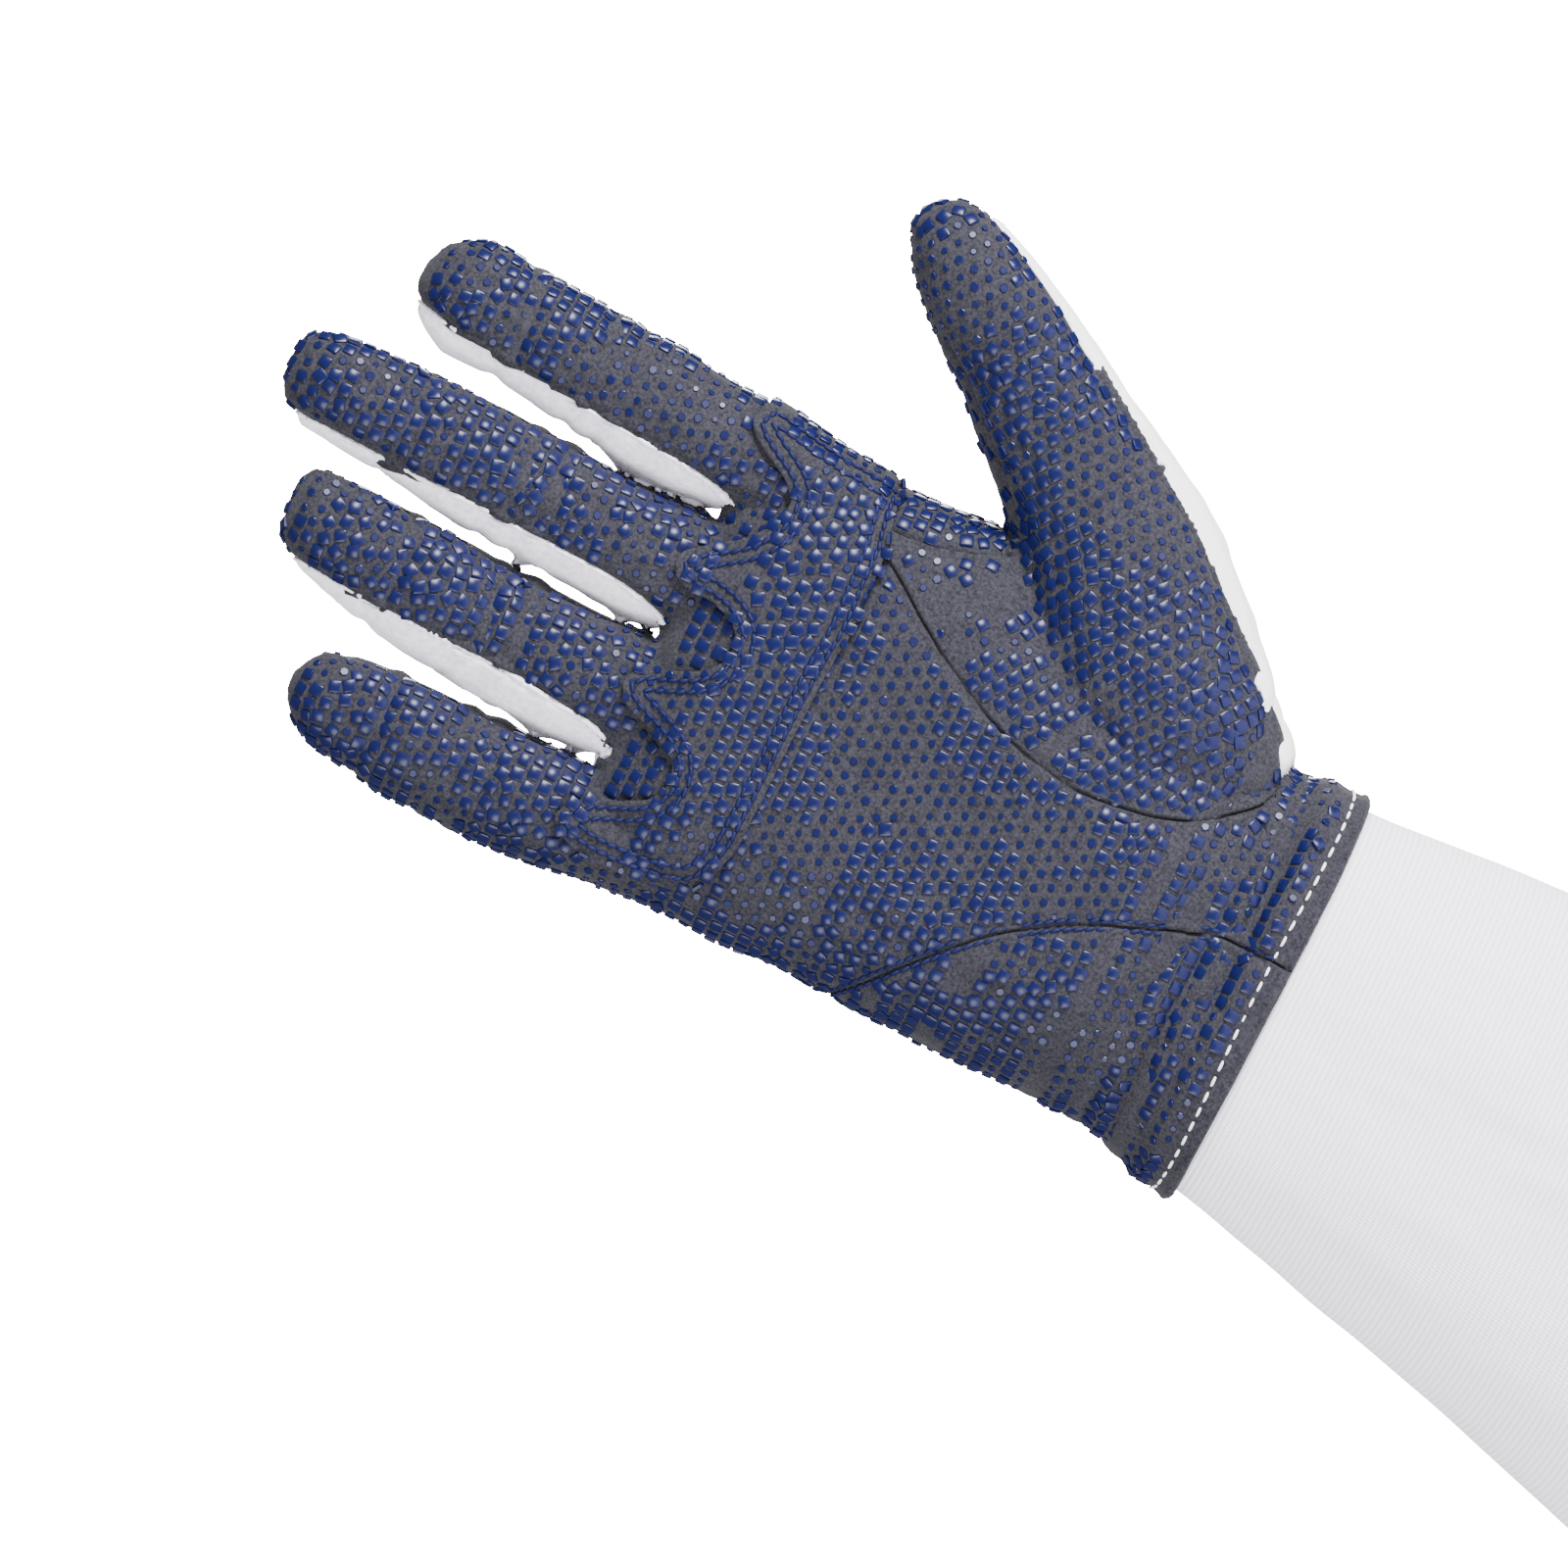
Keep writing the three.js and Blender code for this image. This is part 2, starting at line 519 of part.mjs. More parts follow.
// The largest connected body of a cut, as a three.js geometry.
function mainBody(solid) {
  const mesh = solid.getMesh();
  const count = mesh.vertProperties.length / mesh.numProp;
  const group = Array.from({ length: count }, (unused, i) => i);
  const find = (i) => {
    let at = i;
    while (group[at] !== at) {
      group[at] = group[group[at]];
      at = group[at];
    }
    return at;
  };
  for (let i = 0; i < mesh.triVerts.length; i += 3) {
    const a = find(mesh.triVerts[i]);
    group[find(mesh.triVerts[i + 1])] = a;
    group[find(mesh.triVerts[i + 2])] = a;
  }
  const sizes = new Map();
  for (let i = 0; i < mesh.triVerts.length; i += 3) {
    const body = find(mesh.triVerts[i]);
    sizes.set(body, (sizes.get(body) ?? 0) + 1);
  }
  const [main] = [...sizes.entries()].sort((a, b) => b[1] - a[1])[0];
  const index = [];
  for (let i = 0; i < mesh.triVerts.length; i += 3) {
    if (find(mesh.triVerts[i]) === main) {
      index.push(mesh.triVerts[i], mesh.triVerts[i + 1], mesh.triVerts[i + 2]);
    }
  }
  const used = [...new Set(index)];
  const place = new Map(used.map((vertex, i) => [vertex, i]));
  const positions = new Float32Array(used.length * 3);
  used.forEach((vertex, i) => {
    for (let k = 0; k < 3; k += 1) {
      positions[3 * i + k] = mesh.vertProperties[vertex * mesh.numProp + k];
    }
  });
  const geometry = new THREE.BufferGeometry();
  geometry.setAttribute("position", new THREE.BufferAttribute(positions, 3));
  geometry.setIndex(index.map((vertex) => place.get(vertex)));
  geometry.computeVertexNormals();
  return geometry;
}

const greyLeather = new THREE.MeshStandardMaterial({ color: 0x6b6c70, roughness: 0.95, metalness: 0 });
const whiteCloth = new THREE.MeshStandardMaterial({ color: 0xf2f1f2, roughness: 0.9, metalness: 0 });
const whiteKnit = new THREE.MeshStandardMaterial({ color: 0xf5f4f6, roughness: 0.95, metalness: 0 });
const looks = {
  back_panel: whiteCloth,
  thumb_back: whiteCloth,
  fourchette_little_ring: whiteKnit,
  fourchette_ring_middle: whiteKnit,
  fourchette_middle_index: whiteKnit,
  cuff: whiteKnit,
};

const glove = new THREE.Group();
function place(name, solid) {
  const mesh = new THREE.Mesh(mainBody(solid), looks[name] ?? greyLeather);
  mesh.name = name;
  glove.add(mesh);
}

let rest = handForm(0).subtract(handForm(layer, inside)).intersect(frontal(aboveHem));
for (const panel of panels) {
  const shape = cutter(panel, 0);
  place(panel.name, shape ? rest.intersect(shape) : rest);
  if (shape) {
    rest = rest.subtract(cutter(panel, seamGap));
  }
}

// The patch is a second layer over the roots of the fingers.
const patchFoot = seamGap;
const patchLayer = handForm(-patchFoot - patchThickness).subtract(handForm(-patchFoot));
const patchShape = frontal(curve(onPalm(patchLine), 5)).intersect(frontHalf(-3));
place("finger_base_patch", patchLayer.intersect(patchShape));

// The cuff: tucked inside the leather, then widening to its open end.
const tuckInset = layer + seamGap;
const mouth = { left: -cuffWidth / 2, right: cuffWidth / 2, front: cuffDepth / 2, back: cuffDepth / 2 };
function cuffRing(z, grow, inset) {
  const wrist = between(palmRows, Math.max((z - hemZ) / palmLength, 0));
  const ring = section(
    inside.palm,
    THREE.MathUtils.lerp(wristX + wrist.left * palmWidth + tuckInset, mouth.left, grow) + inset,
    THREE.MathUtils.lerp(wristX + wrist.right * palmWidth - tuckInset, mouth.right, grow) - inset,
    THREE.MathUtils.lerp(wrist.front * palmDepth - tuckInset, mouth.front, grow) - inset,
    THREE.MathUtils.lerp(wrist.back * palmDepth - tuckInset, mouth.back, grow) - inset,
    0.84,
  );
  return ring.map(({ across, depth }) => new THREE.Vector3(across, depth, z));
}
function cuffForm(inset, over) {
  const heights = cuffRows.map((row) => ({ z: hemZ - row.at * cuffLength, grow: row.grow }));
  heights.at(-1).z -= over;
  const tucked = [
    { z: hemZ, grow: 0 },
    { z: hemZ + 0.045 * palmLength, grow: 0 },
    { z: hemZ + cuffTuck + over, grow: 0 },
  ];
  return loft([...heights.reverse(), ...tucked].map(({ z, grow }) => cuffRing(z, grow, inset)));
}
place("cuff", cuffForm(0, 0).subtract(cuffForm(cuffWall, 1)));

export default glove;
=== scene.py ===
import math
import random

import bmesh
import bpy
import numpy as np
from mathutils import Matrix, Vector, noise
from mathutils.bvhtree import BVHTree
from mathutils.kdtree import KDTree


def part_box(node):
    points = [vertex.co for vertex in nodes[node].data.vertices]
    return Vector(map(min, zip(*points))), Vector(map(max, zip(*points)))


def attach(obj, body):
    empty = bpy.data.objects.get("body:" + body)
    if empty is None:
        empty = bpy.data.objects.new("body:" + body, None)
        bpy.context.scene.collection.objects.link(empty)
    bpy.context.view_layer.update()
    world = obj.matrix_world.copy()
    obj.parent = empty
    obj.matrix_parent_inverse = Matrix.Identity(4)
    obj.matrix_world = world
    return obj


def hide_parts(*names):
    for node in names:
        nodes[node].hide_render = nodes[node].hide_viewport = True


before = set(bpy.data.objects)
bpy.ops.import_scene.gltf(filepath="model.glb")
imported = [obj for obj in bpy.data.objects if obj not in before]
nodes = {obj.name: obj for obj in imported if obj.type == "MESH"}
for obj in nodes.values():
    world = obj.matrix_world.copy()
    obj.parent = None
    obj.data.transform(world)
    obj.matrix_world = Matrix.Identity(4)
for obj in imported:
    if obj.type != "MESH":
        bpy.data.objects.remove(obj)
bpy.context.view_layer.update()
mm = 0.001
dice = random.Random(7)

# Places that every piece shares, in metres: worked out from the frame's own nodes.
cuffLow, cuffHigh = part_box("cuff")
thumbLow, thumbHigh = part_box("thumb_panel")
hemZ = 0.130  # the leather's lower edge
webZ = 0.268  # the webs between the fingers
wristX = 0.009


def deselectAll():
    for thing in list(bpy.context.selected_objects):
        thing.select_set(False)


def makeActive(thing):
    deselectAll()
    thing.select_set(True)
    bpy.context.view_layer.objects.active = thing


def newPiece(name, points, faces, material, smooth=True):
    mesh = bpy.data.meshes.new(name)
    mesh.from_pydata([tuple(p) for p in points], [], [tuple(f) for f in faces])
    mesh.update()
    thing = bpy.data.objects.new(name, mesh)
    bpy.context.scene.collection.objects.link(thing)
    mesh.materials.append(material)
    if smooth:
        mesh.polygons.foreach_set("use_smooth", [True] * len(mesh.polygons))
    return thing


# Materials

def startMaterial(name, colour, roughness):
    material = bpy.data.materials.new(name)
    material.use_nodes = True
    shader = material.node_tree.nodes["Principled BSDF"]
    shader.inputs["Base Color"].default_value = (*colour, 1)
    shader.inputs["Roughness"].default_value = roughness
    return material, material.node_tree.nodes, material.node_tree.links, shader


def addNode(tree, kind, **values):
    node = tree.new(kind)
    for key, value in values.items():
        if key in node.inputs:
            node.inputs[key].default_value = value
        else:
            setattr(node, key, value)
    return node


def mixColours(tree, links, factor, low, high):
    ramp = tree.new("ShaderNodeValToRGB")
    ramp.color_ramp.elements[0].color = (*low, 1)
    ramp.color_ramp.elements[1].color = (*high, 1)
    links.new(factor, ramp.inputs["Fac"])
    return ramp


suedeLook = {"dark": (0.0075, 0.0072, 0.0105), "light": (0.036, 0.0355, 0.045), "roughness": 0.95}


def suedeMaterial():
    material, tree, links, shader = startMaterial("greySuede", suedeLook["light"], suedeLook["roughness"])
    where = tree.new("ShaderNodeTexCoord")
    grain = addNode(tree, "ShaderNodeTexNoise", Scale=1500.0, Detail=6.0, Roughness=0.7)
    cloud = addNode(tree, "ShaderNodeTexNoise", Scale=90.0, Detail=4.0, Roughness=0.6)
    for texture in (grain, cloud):
        links.new(where.outputs["Object"], texture.inputs["Vector"])
    ramp = mixColours(tree, links, grain.outputs["Fac"], suedeLook["dark"], suedeLook["light"])
    ramp.color_ramp.elements[0].position = 0.32
    ramp.color_ramp.elements[1].position = 0.62
    shade = mixColours(tree, links, cloud.outputs["Fac"], (0.72, 0.72, 0.78), (1.12, 1.12, 1.1))
    product = addNode(tree, "ShaderNodeMix", data_type="RGBA", blend_type="MULTIPLY")
    product.inputs[0].default_value = 1.0
    links.new(ramp.outputs["Color"], product.inputs[6])
    links.new(shade.outputs["Color"], product.inputs[7])
    links.new(product.outputs[2], shader.inputs["Base Color"])
    bump = addNode(tree, "ShaderNodeBump", Strength=0.55, Distance=0.0003)
    links.new(grain.outputs["Fac"], bump.inputs["Height"])
    links.new(bump.outputs["Normal"], shader.inputs["Normal"])
    shader.inputs["Sheen Weight"].default_value = 0.05
    shader.inputs["Specular IOR Level"].default_value = 0.12
    return material


def clothMaterial(name, colour, scale, strength, shadow):
    material, tree, links, shader = startMaterial(name, colour, 0.9)
    where = tree.new("ShaderNodeTexCoord")
    weave = addNode(tree, "ShaderNodeTexNoise", Scale=scale, Detail=5.0, Roughness=0.65)
    links.new(where.outputs["Object"], weave.inputs["Vector"])
    ramp = mixColours(tree, links, weave.outputs["Fac"], shadow, colour)
    ramp.color_ramp.elements[0].position = 0.3
    ramp.color_ramp.elements[1].position = 0.6
    links.new(ramp.outputs["Color"], shader.inputs["Base Color"])
    bump = addNode(tree, "ShaderNodeBump", Strength=strength, Distance=0.0003)
    links.new(weave.outputs["Fac"], bump.inputs["Height"])
    links.new(bump.outputs["Normal"], shader.inputs["Normal"])
    shader.inputs["Sheen Weight"].default_value = 0.2
    return material


knitLook = {"pitch": 1.15, "loop": 0.95, "colour": (0.93, 0.91, 0.985), "shadow": (0.68, 0.64, 0.8)}


def knitMaterial():
    # UV: u runs round the arm and v along it, both in millimetres
    material, tree, links, shader = startMaterial("whiteKnit", knitLook["colour"], 0.92)
    place = tree.new("ShaderNodeUVMap")
    place.uv_map = "knit"
    split = tree.new("ShaderNodeSeparateXYZ")
    links.new(place.outputs["UV"], split.inputs["Vector"])
    wobble = addNode(tree, "ShaderNodeTexNoise", Scale=0.35, Detail=2.0)
    links.new(place.outputs["UV"], wobble.inputs["Vector"])

    def wave(channel, pitch):
        scaled = addNode(tree, "ShaderNodeMath", operation="MULTIPLY")
        scaled.inputs[1].default_value = 2 * math.pi / pitch
        links.new(split.outputs[channel], scaled.inputs[0])
        shifted = addNode(tree, "ShaderNodeMath", operation="ADD")
        links.new(scaled.outputs[0], shifted.inputs[0])
        links.new(wobble.outputs["Fac"], shifted.inputs[1])
        sine = addNode(tree, "ShaderNodeMath", operation="SINE")
        links.new(shifted.outputs[0], sine.inputs[0])
        return sine

    rib = wave("Y", knitLook["pitch"])
    loop = wave("X", knitLook["loop"])
    small = addNode(tree, "ShaderNodeMath", operation="MULTIPLY")
    small.inputs[1].default_value = 0.35
    links.new(loop.outputs[0], small.inputs[0])
    height = addNode(tree, "ShaderNodeMath", operation="ADD")
    links.new(rib.outputs[0], height.inputs[0])
    links.new(small.outputs[0], height.inputs[1])
    spread = addNode(tree, "ShaderNodeMapRange")
    spread.inputs["From Min"].default_value = -1.35
    spread.inputs["From Max"].default_value = 1.35
    links.new(height.outputs[0], spread.inputs["Value"])
    ramp = mixColours(tree, links, spread.outputs["Result"], knitLook["shadow"], knitLook["colour"])
    ramp.color_ramp.elements[1].position = 0.55
    links.new(ramp.outputs["Color"], shader.inputs["Base Color"])
    bump = addNode(tree, "ShaderNodeBump", Strength=0.6, Distance=0.0004)
    links.new(spread.outputs["Result"], bump.inputs["Height"])
    links.new(bump.outputs["Normal"], shader.inputs["Normal"])
    shader.inputs["Sheen Weight"].default_value = 0.2
    return material


def plainMaterial(name, colour, roughness, gloss=0.5, coat=0.0):
    material, tree, links, shader = startMaterial(name, colour, roughness)
    shader.inputs["Specular IOR Level"].default_value = gloss
    shader.inputs["Coat Weight"].default_value = coat
    return material


suede = suedeMaterial()
backCloth = clothMaterial("whiteBackCloth", (0.88, 0.87, 0.9), 1100.0, 0.25, (0.8, 0.79, 0.84))
forkCloth = clothMaterial("whiteForkKnit", (0.84, 0.82, 0.9), 800.0, 0.45, (0.6, 0.57, 0.7))
cuffKnit = knitMaterial()
rubber = plainMaterial("blueRubber", (0.0024, 0.0042, 0.043), 0.33, gloss=0.27)
blueThread = plainMaterial("blueThread", (0.0030, 0.0052, 0.046), 0.6, gloss=0.2)
whiteThread = plainMaterial("whiteThread", (0.85, 0.85, 0.88), 0.7)
print("materials made")


# The hand's outer skin: the frame's panels fused, with only the outside kept

skin = {
    "voxel": 1.0 * mm,
    "spread": 0.22 * mm,  # closes the gaps between the panels
    "cut": 1.6 * mm,  # above the hem, where the inside comes off
    "smooth": 14,
    "spreadSteps": 12,
    "seamDeep": 0.75 * mm,
    "seamWide": 1.15 * mm,
}
panelNames = [name for name in sorted(nodes) if name not in ("cuff", "finger_base_patch")]


def fusedPanels():
    copies = []
    for name in panelNames:
        work = bmesh.new()
        work.from_mesh(nodes[name].data)
        bmesh.ops.remove_doubles(work, verts=work.verts, dist=1e-6)
        work.normal_update()
        for vert in work.verts:
            vert.co += vert.normal * skin["spread"]
        mesh = bpy.data.meshes.new("work_" + name)
        work.to_mesh(mesh)
        work.free()
        thing = bpy.data.objects.new("work_" + name, mesh)
        bpy.context.scene.collection.objects.link(thing)
        copies.append(thing)
    deselectAll()
    for thing in copies:
        thing.select_set(True)
    bpy.context.view_layer.objects.active = copies[0]
    bpy.ops.object.join()
    whole = copies[0]
    whole.data.remesh_voxel_size = skin["voxel"]
    whole.data.remesh_voxel_adaptivity = 0
    bpy.ops.object.voxel_remesh()
    return whole


def outerSkin(whole):
    work = bmesh.new()
    work.from_mesh(whole.data)
    everything = work.verts[:] + work.edges[:] + work.faces[:]
    bmesh.ops.bisect_plane(
        work, geom=everything, plane_co=(0, 0, hemZ + skin["cut"]), plane_no=(0, 0, 1), clear_inner=True
    )
    work.verts.ensure_lookup_table()
    top = max(work.verts, key=lambda vert: vert.co.z)
    found = {top}
    front = [top]
    while front:
        vert = front.pop()
        for edge in vert.link_edges:
            other = edge.other_vert(vert)
            if other not in found:
                found.add(other)
                front.append(other)
    bmesh.ops.delete(work, geom=[vert for vert in work.verts if vert not in found], context="VERTS")
    work.verts.index_update()
    points = np.array([vert.co[:] for vert in work.verts])
    faces = [[vert.index for vert in face.verts] for face in work.faces]
    work.free()
    bpy.data.objects.remove(whole)
    return points, faces


def edgesOf(faces):
    pairs = {}
    for number, face in enumerate(faces):
        for a, b in zip(face, face[1:] + face[:1]):
            pairs.setdefault((min(a, b), max(a, b)), []).append(number)
    return pairs


def neighbourMean(points, edges, degree):
    total = np.zeros_like(points)
    np.add.at(total, edges[:, 0], points[edges[:, 1]])
    np.add.at(total, edges[:, 1], points[edges[:, 0]])
    return total / degree[:, None]


def smoothSkin(points, edges, rounds, fixed):
    degree = np.zeros(len(points))
    np.add.at(degree, edges[:, 0], 1)
    np.add.at(degree, edges[:, 1], 1)
    free = ~fixed
    for number in range(rounds):
        for share in (0.55, -0.57 if number < rounds - 2 else 0.1):
            mean = neighbourMean(points, edges, degree)
            points[free] += share * (mean[free] - points[free])
    return points


def normalsOf(points, faces):
    quads = np.array([face if len(face) == 4 else face + [face[0]] * (4 - len(face)) for face in
                      [face[:4] for face in faces]])
    a, b, c, d = (points[quads[:, k]] for k in range(4))
    across = np.cross(c - a, d - b)
    normals = np.zeros_like(points)
    for k in range(4):
        np.add.at(normals, quads[:, k], across)
    return normals / np.maximum(np.linalg.norm(normals, axis=1), 1e-12)[:, None]


points, faces = outerSkin(fusedPanels())
pairs = edgesOf(faces)
edges = np.array(list(pairs))
rim = np.zeros(len(points), bool)
for pair, sides in pairs.items():
    if len(sides) == 1:
        rim[list(pair)] = True
points = smoothSkin(points, edges, skin["smooth"], rim)
print("skin:", len(points), "points")


def panelTree():
    verts, polys, owner = [], [], []
    for name in panelNames:
        mesh = nodes[name].data
        base = len(verts)
        verts += [vert.co.copy() for vert in mesh.vertices]
        polys += [[base + k for k in poly.vertices] for poly in mesh.polygons]
        owner += [name] * len(mesh.polygons)
    return BVHTree.FromPolygons(verts, polys), owner


def labelFaces():
    tree, owner = panelTree()
    outward = normalsOf(points, faces)
    labels = []
    for face in faces:
        centre = Vector(points[face].mean(axis=0))
        out = Vector(outward[face].mean(axis=0)).normalized()
        hit = tree.ray_cast(centre + out * 1.5 * mm, -out, 4.5 * mm)
        below = hit[2] if hit[0] is not None and hit[1].dot(out) > 0.2 else tree.find_nearest(centre)[2]
        labels.append(panelNames.index(owner[below]))
    # each panel's share is spread over the skin for a few steps, which smooths the borders between them
    share = np.zeros((len(points), len(panelNames)))
    for face, label in zip(faces, labels):
        for k in face:
            share[k, label] += 1
    share /= share.sum(axis=1)[:, None]
    degree = np.zeros(len(points))
    np.add.at(degree, edges[:, 0], 1)
    np.add.at(degree, edges[:, 1], 1)
    for turn in range(skin["spreadSteps"]):
        mean = np.zeros_like(share)
        np.add.at(mean, edges[:, 0], share[edges[:, 1]])
        np.add.at(mean, edges[:, 1], share[edges[:, 0]])
        share = 0.5 * share + 0.5 * mean / degree[:, None]
    labels = [int(share[face].sum(axis=0).argmax()) for face in faces]
    return labels


labels = labelFaces()


def relaxSeams():
    # the steps along each seam are drawn out into a smooth line
    links = {}
    for (a, b), sides in pairs.items():
        if len(sides) == 2 and labels[sides[0]] != labels[sides[1]]:
            links.setdefault(a, []).append(b)
            links.setdefault(b, []).append(a)
    inner = [k for k, around in links.items() if len(around) == 2 and not rim[k]]
    first = np.array([links[k][0] for k in inner])
    second = np.array([links[k][1] for k in inner])
    inner = np.array(inner)
    for turn in range(60):
        mean = (points[first] + points[second]) / 2
        points[inner] += 0.5 * (mean - points[inner])
    onSeam = np.zeros(len(points), bool)
    onSeam[list(links)] = True
    degree = np.zeros(len(points))
    np.add.at(degree, edges[:, 0], 1)
    np.add.at(degree, edges[:, 1], 1)
    nearSeam = onSeam.copy()
    for turn in range(4):
        grow = nearSeam[edges[:, 0]] | nearSeam[edges[:, 1]]
        nearSeam[edges[grow].ravel()] = True
    free = nearSeam & ~onSeam & ~rim
    for turn in range(9):
        mean = neighbourMean(points, edges, degree)
        points[free] += 0.5 * (mean[free] - points[free])
    return links


seamLinks = relaxSeams()
seamTree = KDTree(len(seamLinks))
for number, vert in enumerate(seamLinks):
    seamTree.insert(Vector(points[vert]), vert)
seamTree.balance()

folds = {
    "wristTop": hemZ + 0.027,
    "wristDeep": 1.05 * mm,
    "creaseDeep": 0.7 * mm,
    "waveDeep": 0.45 * mm,
}
# Creases across the fingers' fronts: height above the webs, and how far it reaches up and down.
creaseRows = [
    {"x": 0.058, "up": 0.026, "wide": 0.0022}, {"x": 0.058, "up": 0.033, "wide": 0.0018},
    {"x": 0.032, "up": 0.030, "wide": 0.0022}, {"x": 0.032, "up": 0.037, "wide": 0.0018},
    {"x": 0.0055, "up": 0.024, "wide": 0.0022}, {"x": 0.0055, "up": 0.031, "wide": 0.0018},
    {"x": -0.022, "up": 0.018, "wide": 0.0020}, {"x": -0.022, "up": 0.024, "wide": 0.0016},
    {"x": 0.058, "up": 0.050, "wide": 0.0018}, {"x": 0.032, "up": 0.060, "wide": 0.0018},
    {"x": 0.0055, "up": 0.050, "wide": 0.0018}, {"x": -0.022, "up": 0.040, "wide": 0.0016},
]


def foldDepth(x, y, z):
    lift = folds["waveDeep"] * noise.noise(Vector((x, y, z)) * 70)
    lift += 0.5 * folds["waveDeep"] * noise.noise(Vector((x * 1.5, y, z * 0.8)) * 190)
    if z < folds["wristTop"] + 0.012:  # gathers above the hem
        sway = 0.0022 * noise.noise(Vector((x * 30, y * 20, 3)))
        level = z - hemZ + sway + 0.0008 * math.sin(x * 70)
        fade = min(1, max(0, (folds["wristTop"] + 0.012 - z) / 0.014))
        fade *= min(1, max(0, (level - 0.002) / 0.004))
        lift += folds["wristDeep"] * fade * 0.55 * math.sin(level * 2 * math.pi / 0.0105 + 3.4)
        tuck = noise.noise(Vector((x * 45, y * 45, 7 + level * 90)))
        lift += folds["wristDeep"] * fade * 0.45 * tuck
    if y < 0 and z > webZ:
        for crease in creaseRows:
            if abs(x - crease["x"]) < 0.0135:
                waver = 0.0012 * noise.noise(Vector((x * 150, z * 20, 1)))
                bend = crease["up"] + 18 * (x - crease["x"]) ** 2 + waver
                lift -= folds["creaseDeep"] * math.exp(-(((z - webZ - bend) / crease["wide"]) ** 2))
    return lift


normals = normalsOf(points, faces)
for number in range(len(points)):
    place = points[number]
    gap = seamTree.find(Vector(place))[2]
    lift = foldDepth(*place) * (0.3 if rim[number] else 1)
    lift -= skin["seamDeep"] * math.exp(-((gap / skin["seamWide"]) ** 2))
    points[number] = place + normals[number] * lift
normals = normalsOf(points, faces)
print("folds and seams pressed in")

skinTree = BVHTree.FromPolygons([Vector(p) for p in points], faces)


# The panels: each its own piece, cut from the skin along the seams and given its thickness inwards

panelLooks = {
    "palm_panel": (suede, 1.5 * mm, "grey_leather"),
    "thumb_panel": (suede, 1.5 * mm, "grey_leather"),
    "thumb_web_gusset": (suede, 1.5 * mm, "grey_leather"),
    "heel_panel": (suede, 1.5 * mm, "grey_leather"),
    "wrist_band": (suede, 1.5 * mm, "grey_leather"),
    "back_panel": (backCloth, 1.6 * mm, "white_fabric"),
    "thumb_back": (backCloth, 1.6 * mm, "white_fabric"),
    "fourchette_little_ring": (forkCloth, 1.2 * mm, "white_knit"),
    "fourchette_ring_middle": (forkCloth, 1.2 * mm, "white_knit"),
    "fourchette_middle_index": (forkCloth, 1.2 * mm, "white_knit"),
}
hemDrop = {"steps": 3, "edge": -0.4 * mm, "roll": 0.5 * mm}


def cutPanel(name):
    label = panelNames.index(name)
    material, thick, slot = panelLooks[name]
    chosen = [face for face, kind in zip(faces, labels) if kind == label]
    used = sorted({k for face in chosen for k in face})
    index = {k: n for n, k in enumerate(used)}
    spots = [Vector(points[k]) for k in used]
    shell = [[index[k] for k in face] for face in chosen]
    # the hem: the skin's open rim is carried down to the leather's edge
    low = {}
    for (a, b), sides in pairs.items():
        if len(sides) == 1 and rim[a] and rim[b] and labels[sides[0]] == label and a in index and b in index:
            face = faces[sides[0]]
            forward = face[(face.index(a) + 1) % len(face)] == b
            pair = (a, b) if forward else (b, a)
            rows = []
            for k in pair:
                if k not in low:
                    base = Vector(points[k])
                    out = Vector(normals[k])
                    drop = base.z - hemZ - hemDrop["edge"] - 0.0008 * noise.noise(base * 40)
                    chain = [index[k]]
                    for step in range(1, hemDrop["steps"] + 1):
                        share = step / hemDrop["steps"]
                        bulge = hemDrop["roll"] * math.sin(math.pi * share) - 0.3 * mm * (share > 0.99)
                        spots.append(base - Vector((0, 0, drop * share)) + out * bulge)
                        chain.append(len(spots) - 1)
                    low[k] = chain
                rows.append(low[k])
            for step in range(hemDrop["steps"]):
                shell.append([rows[1][step], rows[0][step], rows[0][step + 1], rows[1][step + 1]])
    piece = newPiece(name + "_skin", spots, shell, material)
    makeActive(piece)
    wall = piece.modifiers.new("wall", "SOLIDIFY")
    wall.thickness = thick
    wall.offset = -1
    bpy.ops.object.modifier_apply(modifier=wall.name)
    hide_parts(name)
    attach(piece, "root")
    return piece


panelPieces = {name: cutPanel(name) for name in panelNames}
print("panels cut:", len(panelPieces))


# The raised patch over the finger roots: the skin under its outline, lifted and given its thickness

patchLook = {"lift": 0.35 * mm, "thick": 1.25 * mm, "reach": 3.2 * mm}


under = set()


